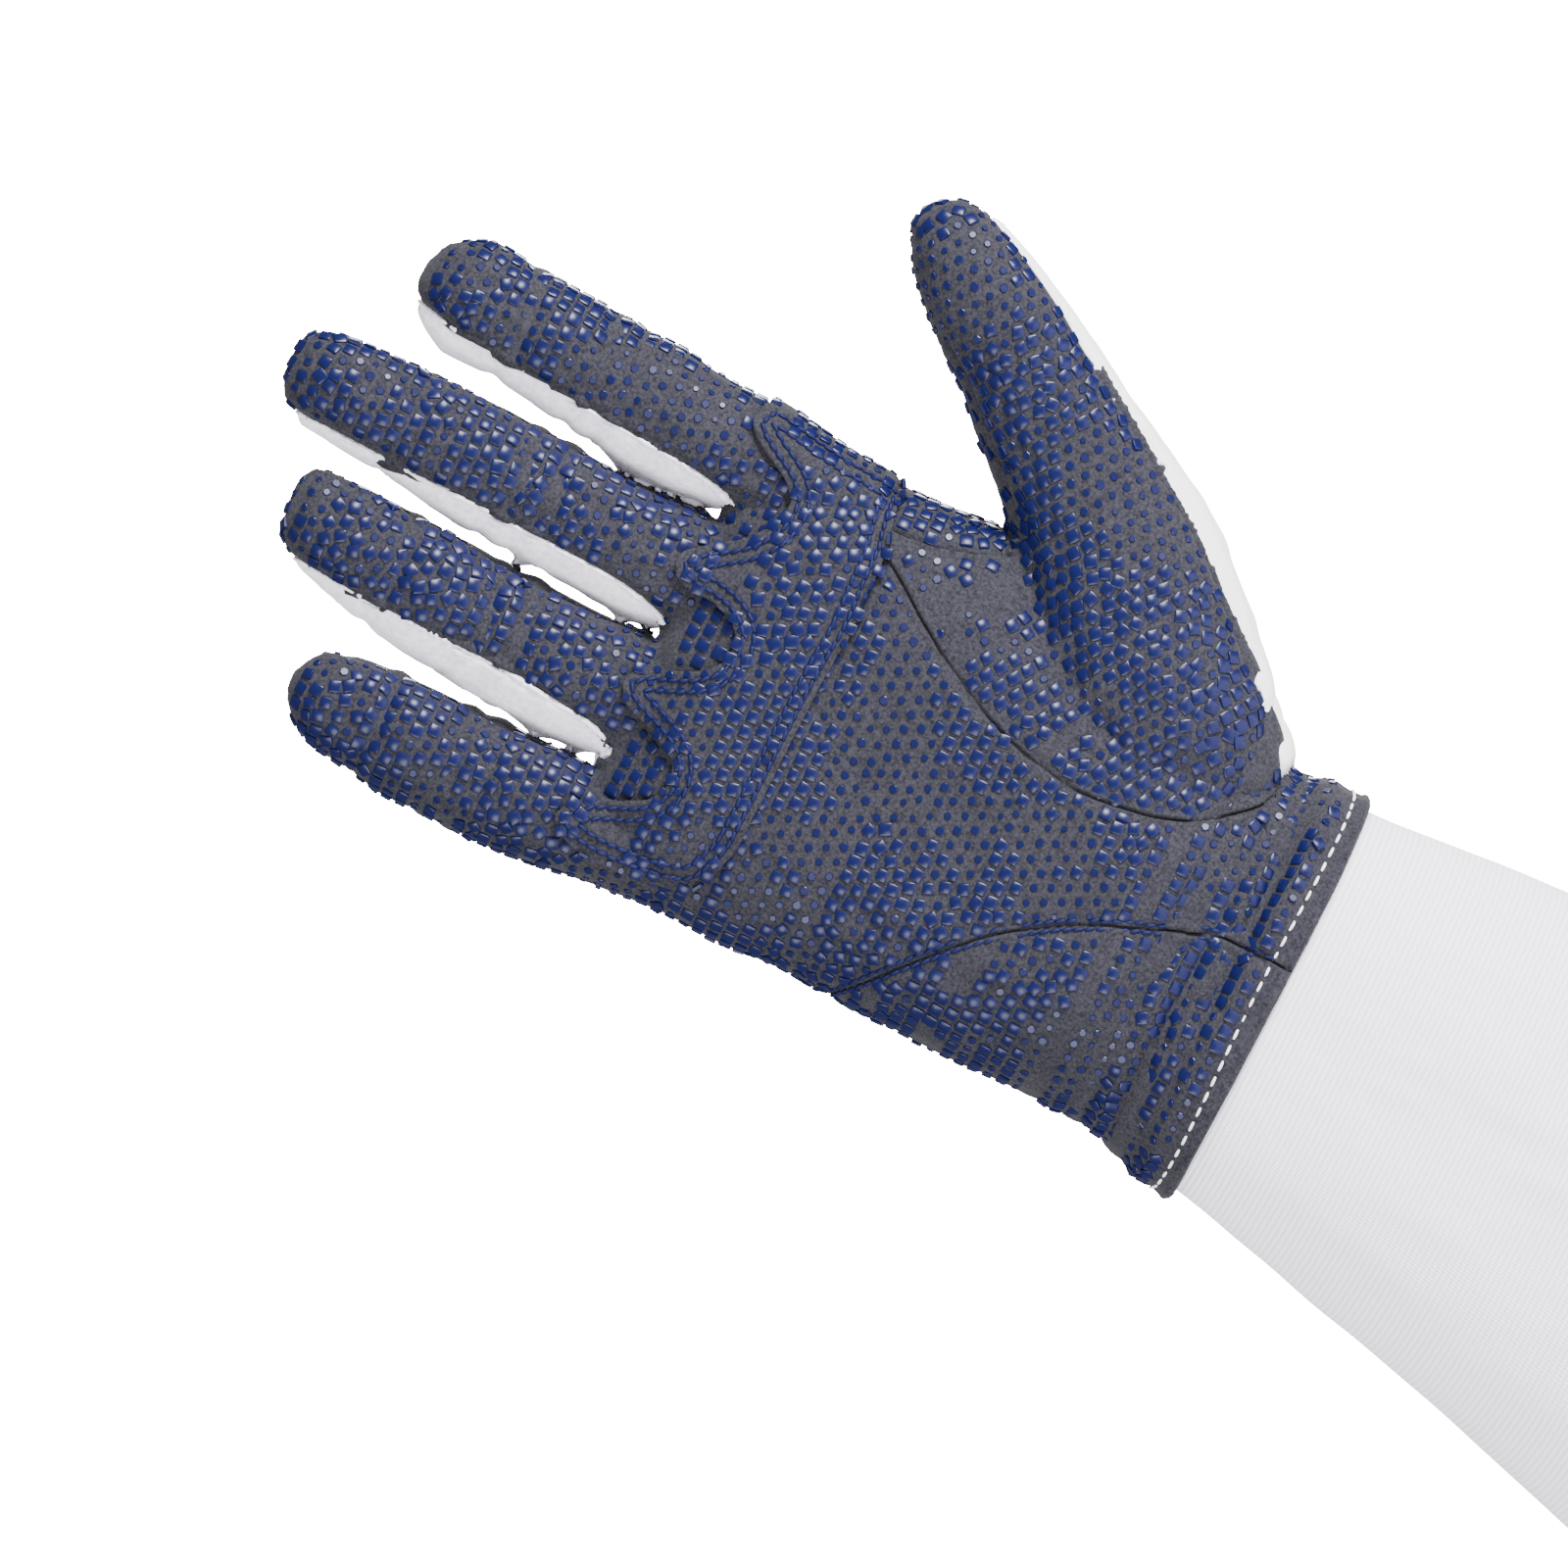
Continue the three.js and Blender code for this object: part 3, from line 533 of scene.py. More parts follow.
def patchPiece():
    mesh = nodes["finger_base_patch"].data
    over = BVHTree.FromPolygons([vert.co.copy() for vert in mesh.vertices],
                                [list(poly.vertices) for poly in mesh.polygons])
    work = bmesh.new()
    low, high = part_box("finger_base_patch")
    chosen = []
    for face in faces:
        centre = Vector(points[face].mean(axis=0))
        across = low.x - 2 * mm < centre.x < high.x + 2 * mm
        if across and low.z - 2 * mm < centre.z < high.z + 2 * mm and centre.y < 0:
            out = Vector(normals[face[0]])
            if over.ray_cast(centre - out * 1.0 * mm, out, patchLook["reach"] + 1.0 * mm)[0] is not None:
                chosen.append(face)
    under.update(tuple(face) for face in chosen)
    made = {}
    for face in chosen:
        for k in face:
            if k not in made:
                made[k] = work.verts.new(Vector(points[k]) + Vector(normals[k]) * patchLook["lift"])
        work.faces.new([made[k] for k in face])
    work.verts.index_update()
    bmesh.ops.subdivide_edges(work, edges=work.edges[:], cuts=1, use_grid_fill=True)
    for turn in range(26):
        border = [vert for vert in work.verts if vert.is_boundary]
        moved = {}
        for vert in border:
            around = [edge.other_vert(vert) for edge in vert.link_edges if edge.is_boundary]
            if len(around) == 2:
                moved[vert] = vert.co.lerp((around[0].co + around[1].co) / 2, 0.5)
        for vert, spot in moved.items():
            vert.co = spot
    for turn in range(4):
        bmesh.ops.smooth_vert(work, verts=[v for v in work.verts if not v.is_boundary], factor=0.5,
                              use_axis_x=True, use_axis_y=True, use_axis_z=True)
    loose = [vert for vert in work.verts if not vert.link_faces]
    bmesh.ops.delete(work, geom=loose, context="VERTS")
    mesh = bpy.data.meshes.new("finger_base_patch_skin")
    work.to_mesh(mesh)
    work.free()
    piece = bpy.data.objects.new("finger_base_patch_skin", mesh)
    bpy.context.scene.collection.objects.link(piece)
    mesh.materials.append(suede)
    mesh.polygons.foreach_set("use_smooth", [True] * len(mesh.polygons))
    return piece


def borderLoops(piece):
    links = {}
    mesh = piece.data
    count = {}
    for poly in mesh.polygons:
        ring = list(poly.vertices)
        for a, b in zip(ring, ring[1:] + ring[:1]):
            key = (min(a, b), max(a, b))
            count[key] = count.get(key, 0) + 1
    for (a, b), number in count.items():
        if number == 1:
            links.setdefault(a, []).append(b)
            links.setdefault(b, []).append(a)
    loops = []
    left = set(links)
    while left:
        start = left.pop()
        loop = [start]
        here, before = start, None
        while True:
            ahead = [k for k in links[here] if k != before and k in left]
            if not ahead:
                break
            before, here = here, ahead[0]
            left.discard(here)
            loop.append(here)
        loops.append([mesh.vertices[k].co.copy() for k in loop])
    return sorted(loops, key=len)[-1]


patch = patchPiece()
patchBorder = borderLoops(patch)
makeActive(patch)
patchWall = patch.modifiers.new("wall", "SOLIDIFY")
patchWall.thickness = patchLook["thick"]
patchWall.offset = 1
bpy.ops.object.modifier_apply(modifier=patchWall.name)
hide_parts("finger_base_patch")
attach(patch, "root")
patchTree = BVHTree.FromPolygons([vert.co.copy() for vert in patch.data.vertices],
                                 [list(poly.vertices) for poly in patch.data.polygons])
print("patch:", len(patch.data.polygons), "faces")


# The cuff: the frame's outside read as a fine grid round the arm, with soft folds and a hem

cuffLook = {
    "around": 260,
    "step": 1.15 * mm,
    "wall": 1.9 * mm,
    "fold": 0.9 * mm,
    "hem": 13 * mm,
    "hemDeep": 0.5 * mm,
}


def cuffPiece():
    mesh = nodes["cuff"].data
    tree = BVHTree.FromPolygons([vert.co.copy() for vert in mesh.vertices],
                                [list(poly.vertices) for poly in mesh.polygons])
    rows = int((cuffHigh.z - cuffLow.z) / cuffLook["step"])
    around = cuffLook["around"]
    radii = np.zeros((rows + 1, around))
    centres = np.zeros(rows + 1)
    for row in range(rows + 1):
        z = min(max(cuffLow.z + (cuffHigh.z - cuffLow.z) * row / rows, cuffLow.z + 1e-4), cuffHigh.z - 1e-4)
        centres[row] = wristX * min(1, (z - cuffLow.z) / (hemZ - cuffLow.z))
        for side in range(around):
            angle = 2 * math.pi * side / around
            way = Vector((math.cos(angle), math.sin(angle), 0))
            start = Vector((centres[row], 0, z)) + way * 0.2
            hit = tree.ray_cast(start, -way)
            radii[row, side] = 0.2 - hit[3]
    for turn in range(30):
        radii = 0.5 * radii + 0.25 * (np.roll(radii, 1, axis=1) + np.roll(radii, -1, axis=1))
    for turn in range(60):
        radii[1:-1] = 0.5 * radii[1:-1] + 0.25 * (radii[:-2] + radii[2:])
    spots, uvs = [], []
    length = 0
    for row in range(rows + 1):
        z = cuffLow.z + (cuffHigh.z - cuffLow.z) * row / rows
        for side in range(around):
            angle = 2 * math.pi * side / around
            way = Vector((math.cos(angle), math.sin(angle), 0))
            below = min(1, max(0, (hemZ - z) / 0.02))
            high = noise.noise(Vector((way.x * 2.2, way.y * 2.2, z * 24)))
            fine = noise.noise(Vector((way.x * 5 + z * 30, way.y * 5, z * 60 + 9)))
            radius = radii[row, side] + below * cuffLook["fold"] * (high + 0.5 * fine)
            edge = z - cuffLow.z - cuffLook["hem"]
            radius -= cuffLook["hemDeep"] * math.exp(-((edge / 0.001) ** 2))
            spots.append(Vector((centres[row], 0, z)) + way * radius)
    shell = []
    for row in range(rows):
        for side in range(around):
            a = row * around + side
            b = row * around + (side + 1) % around
            shell.append([a, b, b + around, a + around])
    piece = newPiece("cuff_knit", spots, shell, cuffKnit)
    layer = piece.data.uv_layers.new(name="knit")
    girth = 0.36 / mm
    for poly in piece.data.polygons:
        row, side = divmod(poly.index, around)
        corners = ((row, side), (row, side + 1), (row + 1, side + 1), (row + 1, side))
        for loop, (r, s) in zip(poly.loop_indices, corners):
            layer.data[loop].uv = (girth * s / around, (cuffHigh.z - cuffLow.z) / mm * r / rows)
    makeActive(piece)
    wall = piece.modifiers.new("wall", "SOLIDIFY")
    wall.thickness = cuffLook["wall"]
    wall.offset = -1
    bpy.ops.object.modifier_apply(modifier=wall.name)
    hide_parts("cuff")
    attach(piece, "root")
    return piece


cuff = cuffPiece()
print("cuff:", len(cuff.data.polygons), "faces")


# Raised rubber squares and dots on the leather

def padShape(corners, size, cut, height):
    # rings of a pad from its sunk foot to its crown, in its own frame
    if corners == 4:
        ring = []
        for k in range(4):
            turn = math.pi / 2 * k
            for x, y in ((1, -1 + cut), (1, 1 - cut)):
                cosine, sine = math.cos(turn), math.sin(turn)
                ring.append((x * cosine - y * sine, x * sine + y * cosine))
    else:
        angles = [2 * math.pi * k / corners for k in range(corners)]
        ring = [(math.cos(angle), math.sin(angle)) for angle in angles]
    shape = []
    for scale, level in ((1.0, -0.35 * mm), (1.0, 0.62 * height), (0.84, height)):
        shape += [(x * scale * size / 2, y * scale * size / 2, level) for x, y in ring]
    sides = len(ring)
    walls = []
    for row in range(2):
        for k in range(sides):
            a, b = row * sides + k, row * sides + (k + 1) % sides
            walls.append([a, b, b + sides, a + sides])
    walls.append([2 * sides + k for k in range(sides)])
    return np.array(shape), walls


class PadField:
    def __init__(self, name, slot):
        self.name, self.slot, self.spots, self.walls = name, slot, [], []
        self.count = 0

    def add(self, shape, walls, place, across, along, out):
        base = self.count
        turned = shape[:, :1] * np.array(across) + shape[:, 1:2] * np.array(along)
        turned = turned + shape[:, 2:] * np.array(out)
        self.spots.append(turned + np.array(place))
        self.walls += [[base + k for k in wall] for wall in walls]
        self.count += len(shape)

    def build(self):
        piece = newPiece(self.name, np.vstack(self.spots), self.walls, rubber, smooth=False)
        makeActive(piece)
        bpy.ops.object.shade_smooth_by_angle(angle=math.radians(36))
        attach(piece, "root")
        return piece


padLook = {
    "pitch": 3.2 * mm,
    "rows": 0.94,  # rows lie this share of the pitch apart
    "apart": 0.86,  # no two pads stand closer than this share of the pitch
    "share": -0.22,  # squares where the noise is above this, dots below
    "square": 2.6 * mm,
    "dot": 1.45 * mm,
    "height": 0.4 * mm,
    "clear": 1.25 * mm,  # bare leather beside a seam
}
squareShape, squareWalls = padShape(4, 1, 0.17, padLook["height"])
dotShape, dotWalls = padShape(7, 1, 0, padLook["height"] * 0.85)
fields = {
    "palm_panel": PadField("palm_grips", "grey_leather"),
    "thumb_panel": PadField("thumb_grips", "grey_leather"),
    "thumb_web_gusset": PadField("gusset_grips", "grey_leather"),
    "heel_panel": PadField("heel_grips", "grey_leather"),
    "wrist_band": PadField("wrist_grips", "grey_leather"),
    "patch": PadField("patch_grips", "grey_leather"),
}


def wholeSurface():
    # the skin without what lies under the patch, and the patch's outside
    verts = [Vector(p) for p in points]
    polys, owner = [], []
    for face, label in zip(faces, labels):
        if tuple(face) not in under:
            polys.append(face)
            owner.append(panelNames[label])
    base = len(verts)
    verts += [vert.co.copy() for vert in patch.data.vertices]
    for poly in patch.data.polygons:
        polys.append([base + k for k in poly.vertices])
        owner.append("patch")
    return BVHTree.FromPolygons(verts, polys), owner


surfaceTree, surfaceOwner = wholeSurface()


def surfaceAt(x, z):
    # the outermost surface at a place seen from the front, with the piece that it belongs to
    hit = surfaceTree.ray_cast(Vector((x, -0.2, z)), Vector((0, 1, 0)))
    if hit[0] is None:
        return None, None, None
    return hit[0], hit[1], surfaceOwner[hit[2]]


taken = {}


def isTaken(place):
    # true where a pad already stands closer than the spacing allows; otherwise the place is kept
    cell = tuple(math.floor(value / padLook["pitch"]) for value in place)
    for dx in (-1, 0, 1):
        for dy in (-1, 0, 1):
            for dz in (-1, 0, 1):
                for other in taken.get((cell[0] + dx, cell[1] + dy, cell[2] + dz), ()):
                    if (other - place).length < padLook["pitch"] * padLook["apart"]:
                        return True
    taken.setdefault(cell, []).append(place)
    return False


def padAt(place, out, owner, along, patternX, patternZ):
    if owner not in fields:
        return
    if owner == "patch":
        border = min((place - spot).length for spot in patchBorder[::3])
        if border < 1.2 * mm:
            return
    elif seamTree.find(place)[2] < padLook["clear"]:
        return
    if isTaken(place):
        return
    bands = noise.noise(Vector((patternX * 42, patternZ * 34, 4)))
    patches = noise.noise(Vector((patternX * 120, patternZ * 120, 11)))
    size = bands + 0.55 * patches
    wild = noise.noise(Vector((patternX * 55, patternZ * 55, 21))) > 0.02
    along = (along - out * along.dot(out)).normalized()
    spin = math.radians(dice.uniform(-38, 38) if wild else dice.uniform(-6, 6))
    along = Matrix.Rotation(spin, 3, out) @ along
    across = along.cross(out).normalized()
    if wild:
        place = place + across * dice.uniform(-0.45, 0.45) * mm + along * dice.uniform(-0.45, 0.45) * mm
    shape = squareShape if size > padLook["share"] else dotShape
    walls = squareWalls if size > padLook["share"] else dotWalls
    if size > padLook["share"]:
        wide = padLook["square"] * (0.86 + 0.14 * min(1, size + 0.3)) * dice.uniform(0.92, 1.05)
        if dice.random() < 0.12:
            shape, walls, wide = dotShape, dotWalls, padLook["dot"] * 1.15
    else:
        wide = padLook["dot"] * dice.uniform(0.82, 1.3)
    scaled = shape * np.array([wide, wide * dice.uniform(0.93, 1.07), 1])
    fields[owner].add(scaled, walls, place, across, along, out)


def marchRow(start, along, allowed, phase, gate=None):
    # steps over the surface from the middle both ways, so that pads keep their spacing round the sides
    for way in (1, -1):
        hit = surfaceTree.ray_cast(Vector((start.x, -0.2, start.z)), Vector((0, 1, 0)))
        if hit[0] is None:
            continue
        place, out, owner = hit[0], hit[1], surfaceOwner[hit[2]]
        across = along.cross(Vector((0, -1, 0))).normalized() * way
        level = along.dot(start)
        first = phase if way == 1 else 1 - phase
        steps, outside = 0, 0
        while steps < 60 and outside < 3:
            pace = padLook["pitch"] * (first if steps == 0 else 1)
            if pace > 0:
                flat = (across - out * across.dot(out)).normalized()
                ahead = place + flat * pace
                ahead += along * (level - along.dot(ahead))
                near = surfaceTree.find_nearest(ahead)
                place, out, owner = near[0], near[1], surfaceOwner[near[2]]
                across = flat
            steps += 1
            if abs(level - along.dot(place)) > 4 * mm:
                break
            if owner in allowed and (gate is None or gate(place)):
                padAt(place, out, owner, along, place.x, place.z)
                outside = 0
            else:
                outside += 1


upright = Vector((0, 0, 1))
palmOwners = ("palm_panel", "heel_panel", "patch", "thumb_web_gusset", "wrist_band")


def palmGrips():
    row = 0
    z = hemZ + 6.0 * mm
    while z < webZ - 3 * mm:
        for step in (0, -6, 6, 11, 16, 20):  # more than one start, because a fold or a web ends a row
            start = Vector((wristX + step * padLook["pitch"], 0, z))
            marchRow(start, upright, palmOwners, 0.5 * (row % 2), lambda spot: spot.x < 0.082)
        z += padLook["pitch"] * padLook["rows"]
        row += 1


# Each finger's middle at its root and near its tip, and its height.
fingerRows = [
    {"root": 0.0577, "tip": 0.0655, "top": 0.3435},
    {"root": 0.0310, "tip": 0.0350, "top": 0.3570},
    {"root": 0.0045, "tip": 0.0095, "top": 0.3455},
    {"root": -0.0215, "tip": -0.0210, "top": 0.3290},
]


def fingerGrips():
    for finger in fingerRows:
        z = webZ - 12 * mm
        row = 0
        while z < finger["top"]:
            share = min(1, max(0, (z - webZ) / (finger["top"] - webZ)))
            middle = finger["root"] + (finger["tip"] - finger["root"]) * share
            owners = ("palm_panel", "patch", "thumb_web_gusset")
            marchRow(Vector((middle, 0, z)), upright, owners, 0.5 * (row % 2),
                     lambda spot: abs(spot.x - middle) < 0.0135)
            z += padLook["pitch"] * padLook["rows"]
            row += 1


def thumbGrips():
    lean = math.radians(33)
    along = Vector((math.sin(lean), 0, math.cos(lean)))
    across = Vector((math.cos(lean), 0, -math.sin(lean)))
    middle = (thumbLow + thumbHigh) / 2
    for row in range(-30, 31):
        base = middle + along * row * padLook["pitch"] * padLook["rows"]
        # the row starts where the front of the thumb panel is found first
        inside = []
        for step in range(-24, 25):
            spot = base + across * step * 3 * mm
            if surfaceAt(spot.x, spot.z)[2] == "thumb_panel":
                inside.append(step)
        for step in inside[len(inside) // 2:] + inside[:len(inside) // 2:2]:
            spot = base + across * (step * 3 * mm)
            marchRow(spot, along, ("thumb_panel",), 0.5 * (row % 2))


def gussetGrips():
    # the strip that runs up the thumb's inner side
    low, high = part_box("thumb_web_gusset")
    z = low.z
    row = 0
    while z < high.z:
        spots = [low.x + (high.x - low.x) * k / 30 for k in range(31)]
        inside = [x for x in spots if surfaceAt(x, z)[2] == "thumb_web_gusset" and x > 0.078]
        if inside:
            start = Vector((inside[len(inside) // 2], 0, z))
            marchRow(start, upright, ("thumb_web_gusset",), 0.5 * (row % 2), lambda spot: spot.x >= 0.078)
        z += padLook["pitch"] * padLook["rows"]
        row += 1


palmGrips()
fingerGrips()
thumbGrips()
gussetGrips()
gripPieces = [field.build() for field in fields.values() if field.count]
print("grips:", sum(len(piece.data.polygons) for piece in gripPieces), "faces")


# Thread: each stitch is a short rounded bead of thread that dips into the leather at both ends

def stitchShape(sides=6):
    rings = (  # along, girth, lift
        (-0.5, 0.25, -0.5),
        (-0.42, 0.75, 0.1),
        (-0.2, 1.0, 0.45),
        (0.2, 1.0, 0.45),
        (0.42, 0.75, 0.1),
        (0.5, 0.25, -0.5),
    )
    spots = []
    for along, fat, lift in rings:
        for k in range(sides):
            angle = 2 * math.pi * k / sides
            spots.append((along, fat * math.cos(angle), fat * math.sin(angle) + lift))
    walls = [[k for k in range(sides)][::-1]]
    for row in range(len(rings) - 1):
        for k in range(sides):
            a, b = row * sides + k, row * sides + (k + 1) % sides
            walls.append([a, b, b + sides, a + sides])
    walls.append([(len(rings) - 1) * sides + k for k in range(sides)])
    return np.array(spots), [wall[::-1] for wall in walls]


def spaced(line, pitch, closed=False):
    line = [Vector(p) for p in line] + ([Vector(line[0])] if closed else [])
    out, left = [], 0.0
    for a, b in zip(line, line[1:]):
        span = (b - a).length
        while left < span:
            out.append((a.lerp(b, left / span), (b - a).normalized()))
            left += pitch
        left -= span
    return out


def smoothLine(line, rounds, closed):
    line = [Vector(p) for p in line]
    for turn in range(rounds):
        fresh = list(line)
        for k in range(len(line)):
            if closed or 0 < k < len(line) - 1:
                fresh[k] = line[k].lerp((line[k - 1] + line[(k + 1) % len(line)]) / 2, 0.5)
        line = fresh
    return line


def stitchRow(name, lines, look, material, tree):
    shape, walls = stitchShape()
    spots, allWalls, count = [], [], 0
    for line, closed in lines:
        for place, along in spaced(line, look["pitch"], closed):
            found = tree.find_nearest(place)
            out = found[1]
            along = (along - out * along.dot(out)).normalized()
            side = out.cross(along)
            lean = Matrix.Rotation(math.radians(look.get("lean", 0)), 3, out)
            along, side = lean @ along, lean @ side
            scaled = shape * np.array([look["long"], look["thick"] / 2, look["thick"] / 2])
            turned = scaled[:, :1] * np.array(along) + scaled[:, 1:2] * np.array(side)
            turned = turned + scaled[:, 2:] * np.array(out)
            spots.append(turned + np.array(found[0]))
            allWalls += [[count + k for k in wall] for wall in walls]
            count += len(shape)
    piece = newPiece(name, np.vstack(spots), allWalls, material)
    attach(piece, "root")
    return piece


blueStitch = {"pitch": 2.2 * mm, "long": 2.35 * mm, "thick": 0.85 * mm, "lean": 8}
whiteStitch = {"pitch": 3.4 * mm, "long": 2.3 * mm, "thick": 0.6 * mm, "lean": 0}


def insetBorder(border, inset):
    line = smoothLine(border[::2], 10, True)
    middle = sum(line, Vector()) / len(line)
    moved = []
    area = sum(a.x * b.z - b.x * a.z for a, b in zip(line, line[1:] + line[:1]))
    sign = 1 if area > 0 else -1
    for k, spot in enumerate(line):
        ahead, behind = line[(k + 2) % len(line)], line[k - 2]
        way = (ahead - behind)
        flat = Vector((-way.z, 0, way.x)).normalized() * sign
        moved.append(spot + flat * inset)
    keep = [p for p in moved if min((Vector((p.x - q.x, 0, p.z - q.z))).length for q in line) > inset * 0.93]
    return smoothLine(keep, 5, True)


def fromFront(line, offset=0.0):
    out = []
    for spot in line:
        place, normal, owner = surfaceAt(spot.x, spot.z)
        if place is not None:
            out.append(place + normal * offset)
    return out


patchRows = [(fromFront(insetBorder(patchBorder, inset)), True) for inset in (1.7 * mm, 3.9 * mm)]
stitchRow("patch_stitches", patchRows, blueStitch, blueThread, patchTree)


def seamLine(first, second, wanted):
    # the chain of seam points between two panels, from top to bottom
    a, b = panelNames.index(first), panelNames.index(second)
    links = {}
    for (p, q), sides in pairs.items():
        if len(sides) == 2 and {labels[sides[0]], labels[sides[1]]} == {a, b} and wanted(points[p]):
            links.setdefault(p, []).append(q)
            links.setdefault(q, []).append(p)
    best = []
    left = set(links)
    while left:
        start = max(left, key=lambda k: points[k][2])
        chain, here = [start], start
        left.discard(start)
        while True:
            ahead = [k for k in links[here] if k in left]
            if not ahead:
                break
            here = ahead[0]
            left.discard(here)
            chain.append(here)
        if len(chain) > len(best):
            best = chain
    return [Vector(points[k]) for k in best]


def sideOf(line, offset):
    line = smoothLine(line, 8, False)
    moved = []
    for k, spot in enumerate(line):
        way = line[min(k + 3, len(line) - 1)] - line[max(k - 3, 0)]
        out = Vector(skinTree.find_nearest(spot)[1])
        moved.append(spot + way.cross(out).normalized() * offset)
    return smoothLine(moved, 3, False)


heelLine = seamLine("heel_panel", "palm_panel", lambda p: p[1] < -0.002)
if len(heelLine) > 20:
    heelRows = [(sideOf(heelLine, offset), False) for offset in (1.0 * mm, -1.2 * mm)]
    stitchRow("heel_stitches", heelRows, blueStitch, blueThread, skinTree)


frillLook = {
    "step": 0.55 * mm,
    "radius": 0.5 * mm,
    "rise": 0.35 * mm,
    "lean": 0.45 * mm,
    "root": 1.3,  # how much fatter it grows at the web
    "sides": 7,
}


def frill(name, line, inward):
    # an irregular rolled edge of knit that follows a seam, on the fourchette's side of it
    centres = [spot for spot, way in spaced(smoothLine(line, 6, False), frillLook["step"])]
    spots, walls = [], []
    for k, spot in enumerate(centres):
        near = skinTree.find_nearest(spot)
        out = near[1]
        way = centres[min(k + 1, len(centres) - 1)] - centres[max(k - 1, 0)]
        side = way.cross(out).normalized()
        if side.dot(inward(spot)) < 0:
            side = -side
        rough = noise.noise(spot * 900)
        slow = noise.noise(spot * 260 + Vector((4, 4, 4)))
        ends = min(1, min(k, len(centres) - 1 - k) / 4)
        fat = frillLook["radius"] * (0.85 + 0.35 * slow + 0.3 * rough) * (0.25 + 0.75 * ends)
        fat *= 1 + frillLook["root"] * math.exp(-max(0, spot.z - webZ) / 0.0035)
        middle = spot + side * frillLook["lean"] + out * frillLook["rise"] * (0.9 + 0.6 * slow)
        for n in range(frillLook["sides"]):
            angle = 2 * math.pi * n / frillLook["sides"]
            ragged = 1 + 0.35 * noise.noise(spot * 1500 + Vector((n * 3, 0, 0)))
            spots.append(middle + (side * math.cos(angle) + out * math.sin(angle) * 0.9) * fat * ragged)
    sides = frillLook["sides"]
    for row in range(len(centres) - 1):
        for n in range(sides):
            a, b = row * sides + n, row * sides + (n + 1) % sides
            walls.append([a, b, b + sides, a + sides])
    walls.append([n for n in range(sides)][::-1])
    walls.append([(len(centres) - 1) * sides + n for n in range(sides)])
    piece = newPiece(name, spots, walls, forkCloth)
    makeActive(piece)
    bpy.ops.object.mode_set(mode="EDIT")
    bpy.ops.mesh.select_all(action="SELECT")
    bpy.ops.mesh.normals_make_consistent(inside=False)
    bpy.ops.object.mode_set(mode="OBJECT")
    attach(piece, "root")


def seamChains(first, second, shortest):
    a, b = panelNames.index(first), panelNames.index(second)
    links = {}
    for (p, q), sides in pairs.items():
        if len(sides) == 2 and {labels[sides[0]], labels[sides[1]]} == {a, b}:
            links.setdefault(p, []).append(q)
            links.setdefault(q, []).append(p)
    chains = []
    left = set(links)
    while left:
        ends = [k for k in left if sum(other in left for other in links[k]) <= 1]
        here = max(ends or left, key=lambda k: points[k][2])
        chain = [here]
        left.discard(here)
        while True:
            ahead = [k for k in links[here] if k in left]
            if not ahead:
                break
            here = ahead[0]
            left.discard(here)
            chain.append(here)
        if len(chain) > shortest:
            chains.append([Vector(points[k]) for k in chain])
    return chains


for forkName in [name for name in panelNames if name.startswith("fourchette")]:
    low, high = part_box(forkName)
    forkMiddle = (low + high) / 2
    for number, chain in enumerate(seamChains(forkName, "palm_panel", 12)):
        toFork = lambda spot: Vector((forkMiddle.x - spot.x, 0.004, 0))
        frill(forkName + "_edge_" + str(number + 1), chain, toFork)


def hemRow():
    line = []
    for k in range(400):
        angle = 2 * math.pi * k / 400
        way = Vector((math.cos(angle), math.sin(angle) * 0.7, 0)).normalized()
        z = hemZ + 3.5 * mm + 0.5 * mm * math.sin(angle * 3)
        hit = skinTree.ray_cast(Vector((wristX, 0, z)) + way * 0.1, -way)
        if hit[0] is not None:
            line.append(hit[0])
    return line


hemLines = [(smoothLine(hemRow(), 3, True), True)]
stitchRow("hem_stitches", hemLines, whiteStitch, whiteThread, skinTree)
print("thread laid")


# Floor, light and camera

floorLook = {"radius": 0.34, "drop": 0.5 * mm, "forward": 0.265, "colour": (0.95, 0.95, 0.96)}
floorMaterial = plainMaterial("paleFloor", floorLook["colour"], 0.8)
deselectAll()
bpy.ops.mesh.primitive_cylinder_add(
    vertices=128, radius=floorLook["radius"], depth=0.001,
    location=(0.02, -floorLook["forward"], cuffLow.z - floorLook["drop"] - 0.0005)
)
floor = bpy.context.active_object
floor.name = "floor"
floor.data.materials.append(floorMaterial)
bpy.ops.object.transform_apply(location=True)

world = bpy.data.worlds.new("studioWorld")
bpy.context.scene.world = world
world.use_nodes = True
worldLook = {"strength": 1.35, "glossy": 0.2, "seen": 25.0}


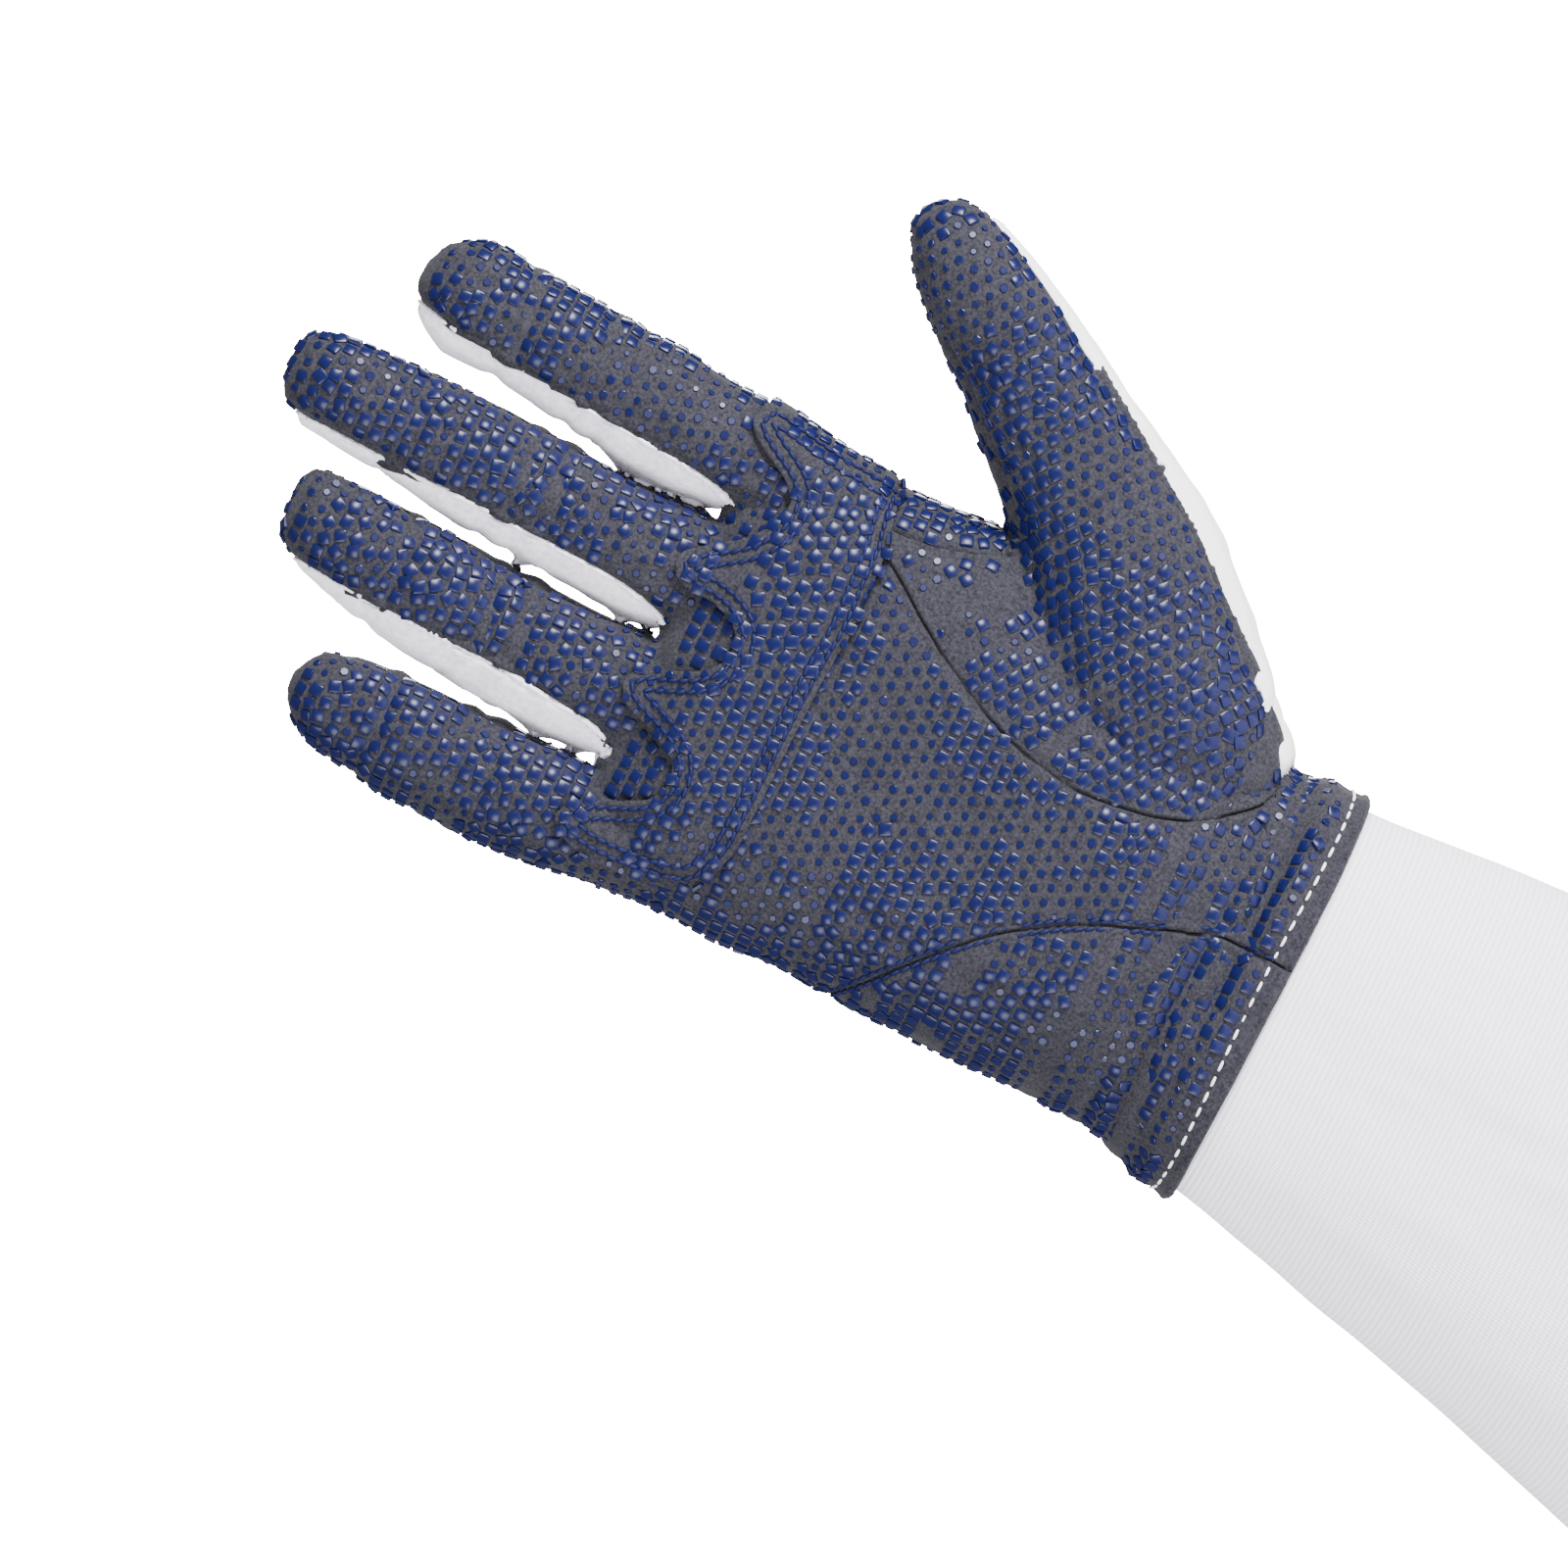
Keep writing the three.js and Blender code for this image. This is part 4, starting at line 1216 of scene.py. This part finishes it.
def worldNodes():
    # the walls are plain white where the camera sees them, and dimmer in reflections
    tree, links = world.node_tree.nodes, world.node_tree.links
    background = tree["Background"]
    background.inputs["Color"].default_value = (1, 1, 1, 1)
    path = tree.new("ShaderNodeLightPath")
    gloss = addNode(tree, "ShaderNodeMath", operation="MULTIPLY_ADD")
    gloss.inputs[1].default_value = worldLook["strength"] * (worldLook["glossy"] - 1)
    gloss.inputs[2].default_value = worldLook["strength"]
    links.new(path.outputs["Is Glossy Ray"], gloss.inputs[0])
    seen = addNode(tree, "ShaderNodeMath", operation="MULTIPLY_ADD")
    seen.inputs[1].default_value = worldLook["seen"]
    links.new(path.outputs["Is Camera Ray"], seen.inputs[0])
    links.new(gloss.outputs[0], seen.inputs[2])
    links.new(seen.outputs[0], background.inputs["Strength"])


worldNodes()

# The picture's own directions: right and up, as the photograph shows the glove.
tilt = math.radians(27)
pictureRight = Vector((math.sin(tilt), 0, -math.cos(tilt)))
pictureUp = Vector((math.cos(tilt), 0, math.sin(tilt)))
toCamera = Vector((0, -1, 0))
aim = Vector((0.0034, -0.012, 0.2331))
cameraLook = {"distance": 1.6, "width": 0.304}


def addLight(name, direction, distance, size, power):
    light = bpy.data.lights.new(name, "AREA")
    light.shape = "DISK"
    light.size = size
    light.energy = power
    thing = bpy.data.objects.new(name, light)
    bpy.context.scene.collection.objects.link(thing)
    thing.location = aim + direction.normalized() * distance
    thing.rotation_mode = "QUATERNION"
    thing.rotation_quaternion = direction.normalized().to_track_quat("Z", "Y")


addLight("keyLight", toCamera * 0.7 + pictureUp * 1.0 + pictureRight * 0.35, 0.9, 0.35, 26.0)
addLight("fillLight", toCamera * 1.0 - pictureRight * 0.3 - pictureUp * 0.9, 1.1, 0.7, 15.0)
addLight("backLight", -toCamera * 1.0 + pictureUp * 0.4, 1.2, 0.7, 16.0)

camera = bpy.data.cameras.new("camera")
cameraThing = bpy.data.objects.new("camera", camera)
bpy.context.scene.collection.objects.link(cameraThing)
camera.sensor_width = 36
camera.lens = 36 * (cameraLook["distance"]) / cameraLook["width"]
turn = Matrix((pictureRight, pictureUp, toCamera)).transposed()
cameraThing.rotation_mode = "QUATERNION"
cameraThing.rotation_quaternion = turn.to_quaternion()
cameraThing.location = aim + toCamera * cameraLook["distance"]
bpy.context.scene.camera = cameraThing
print("scene set")
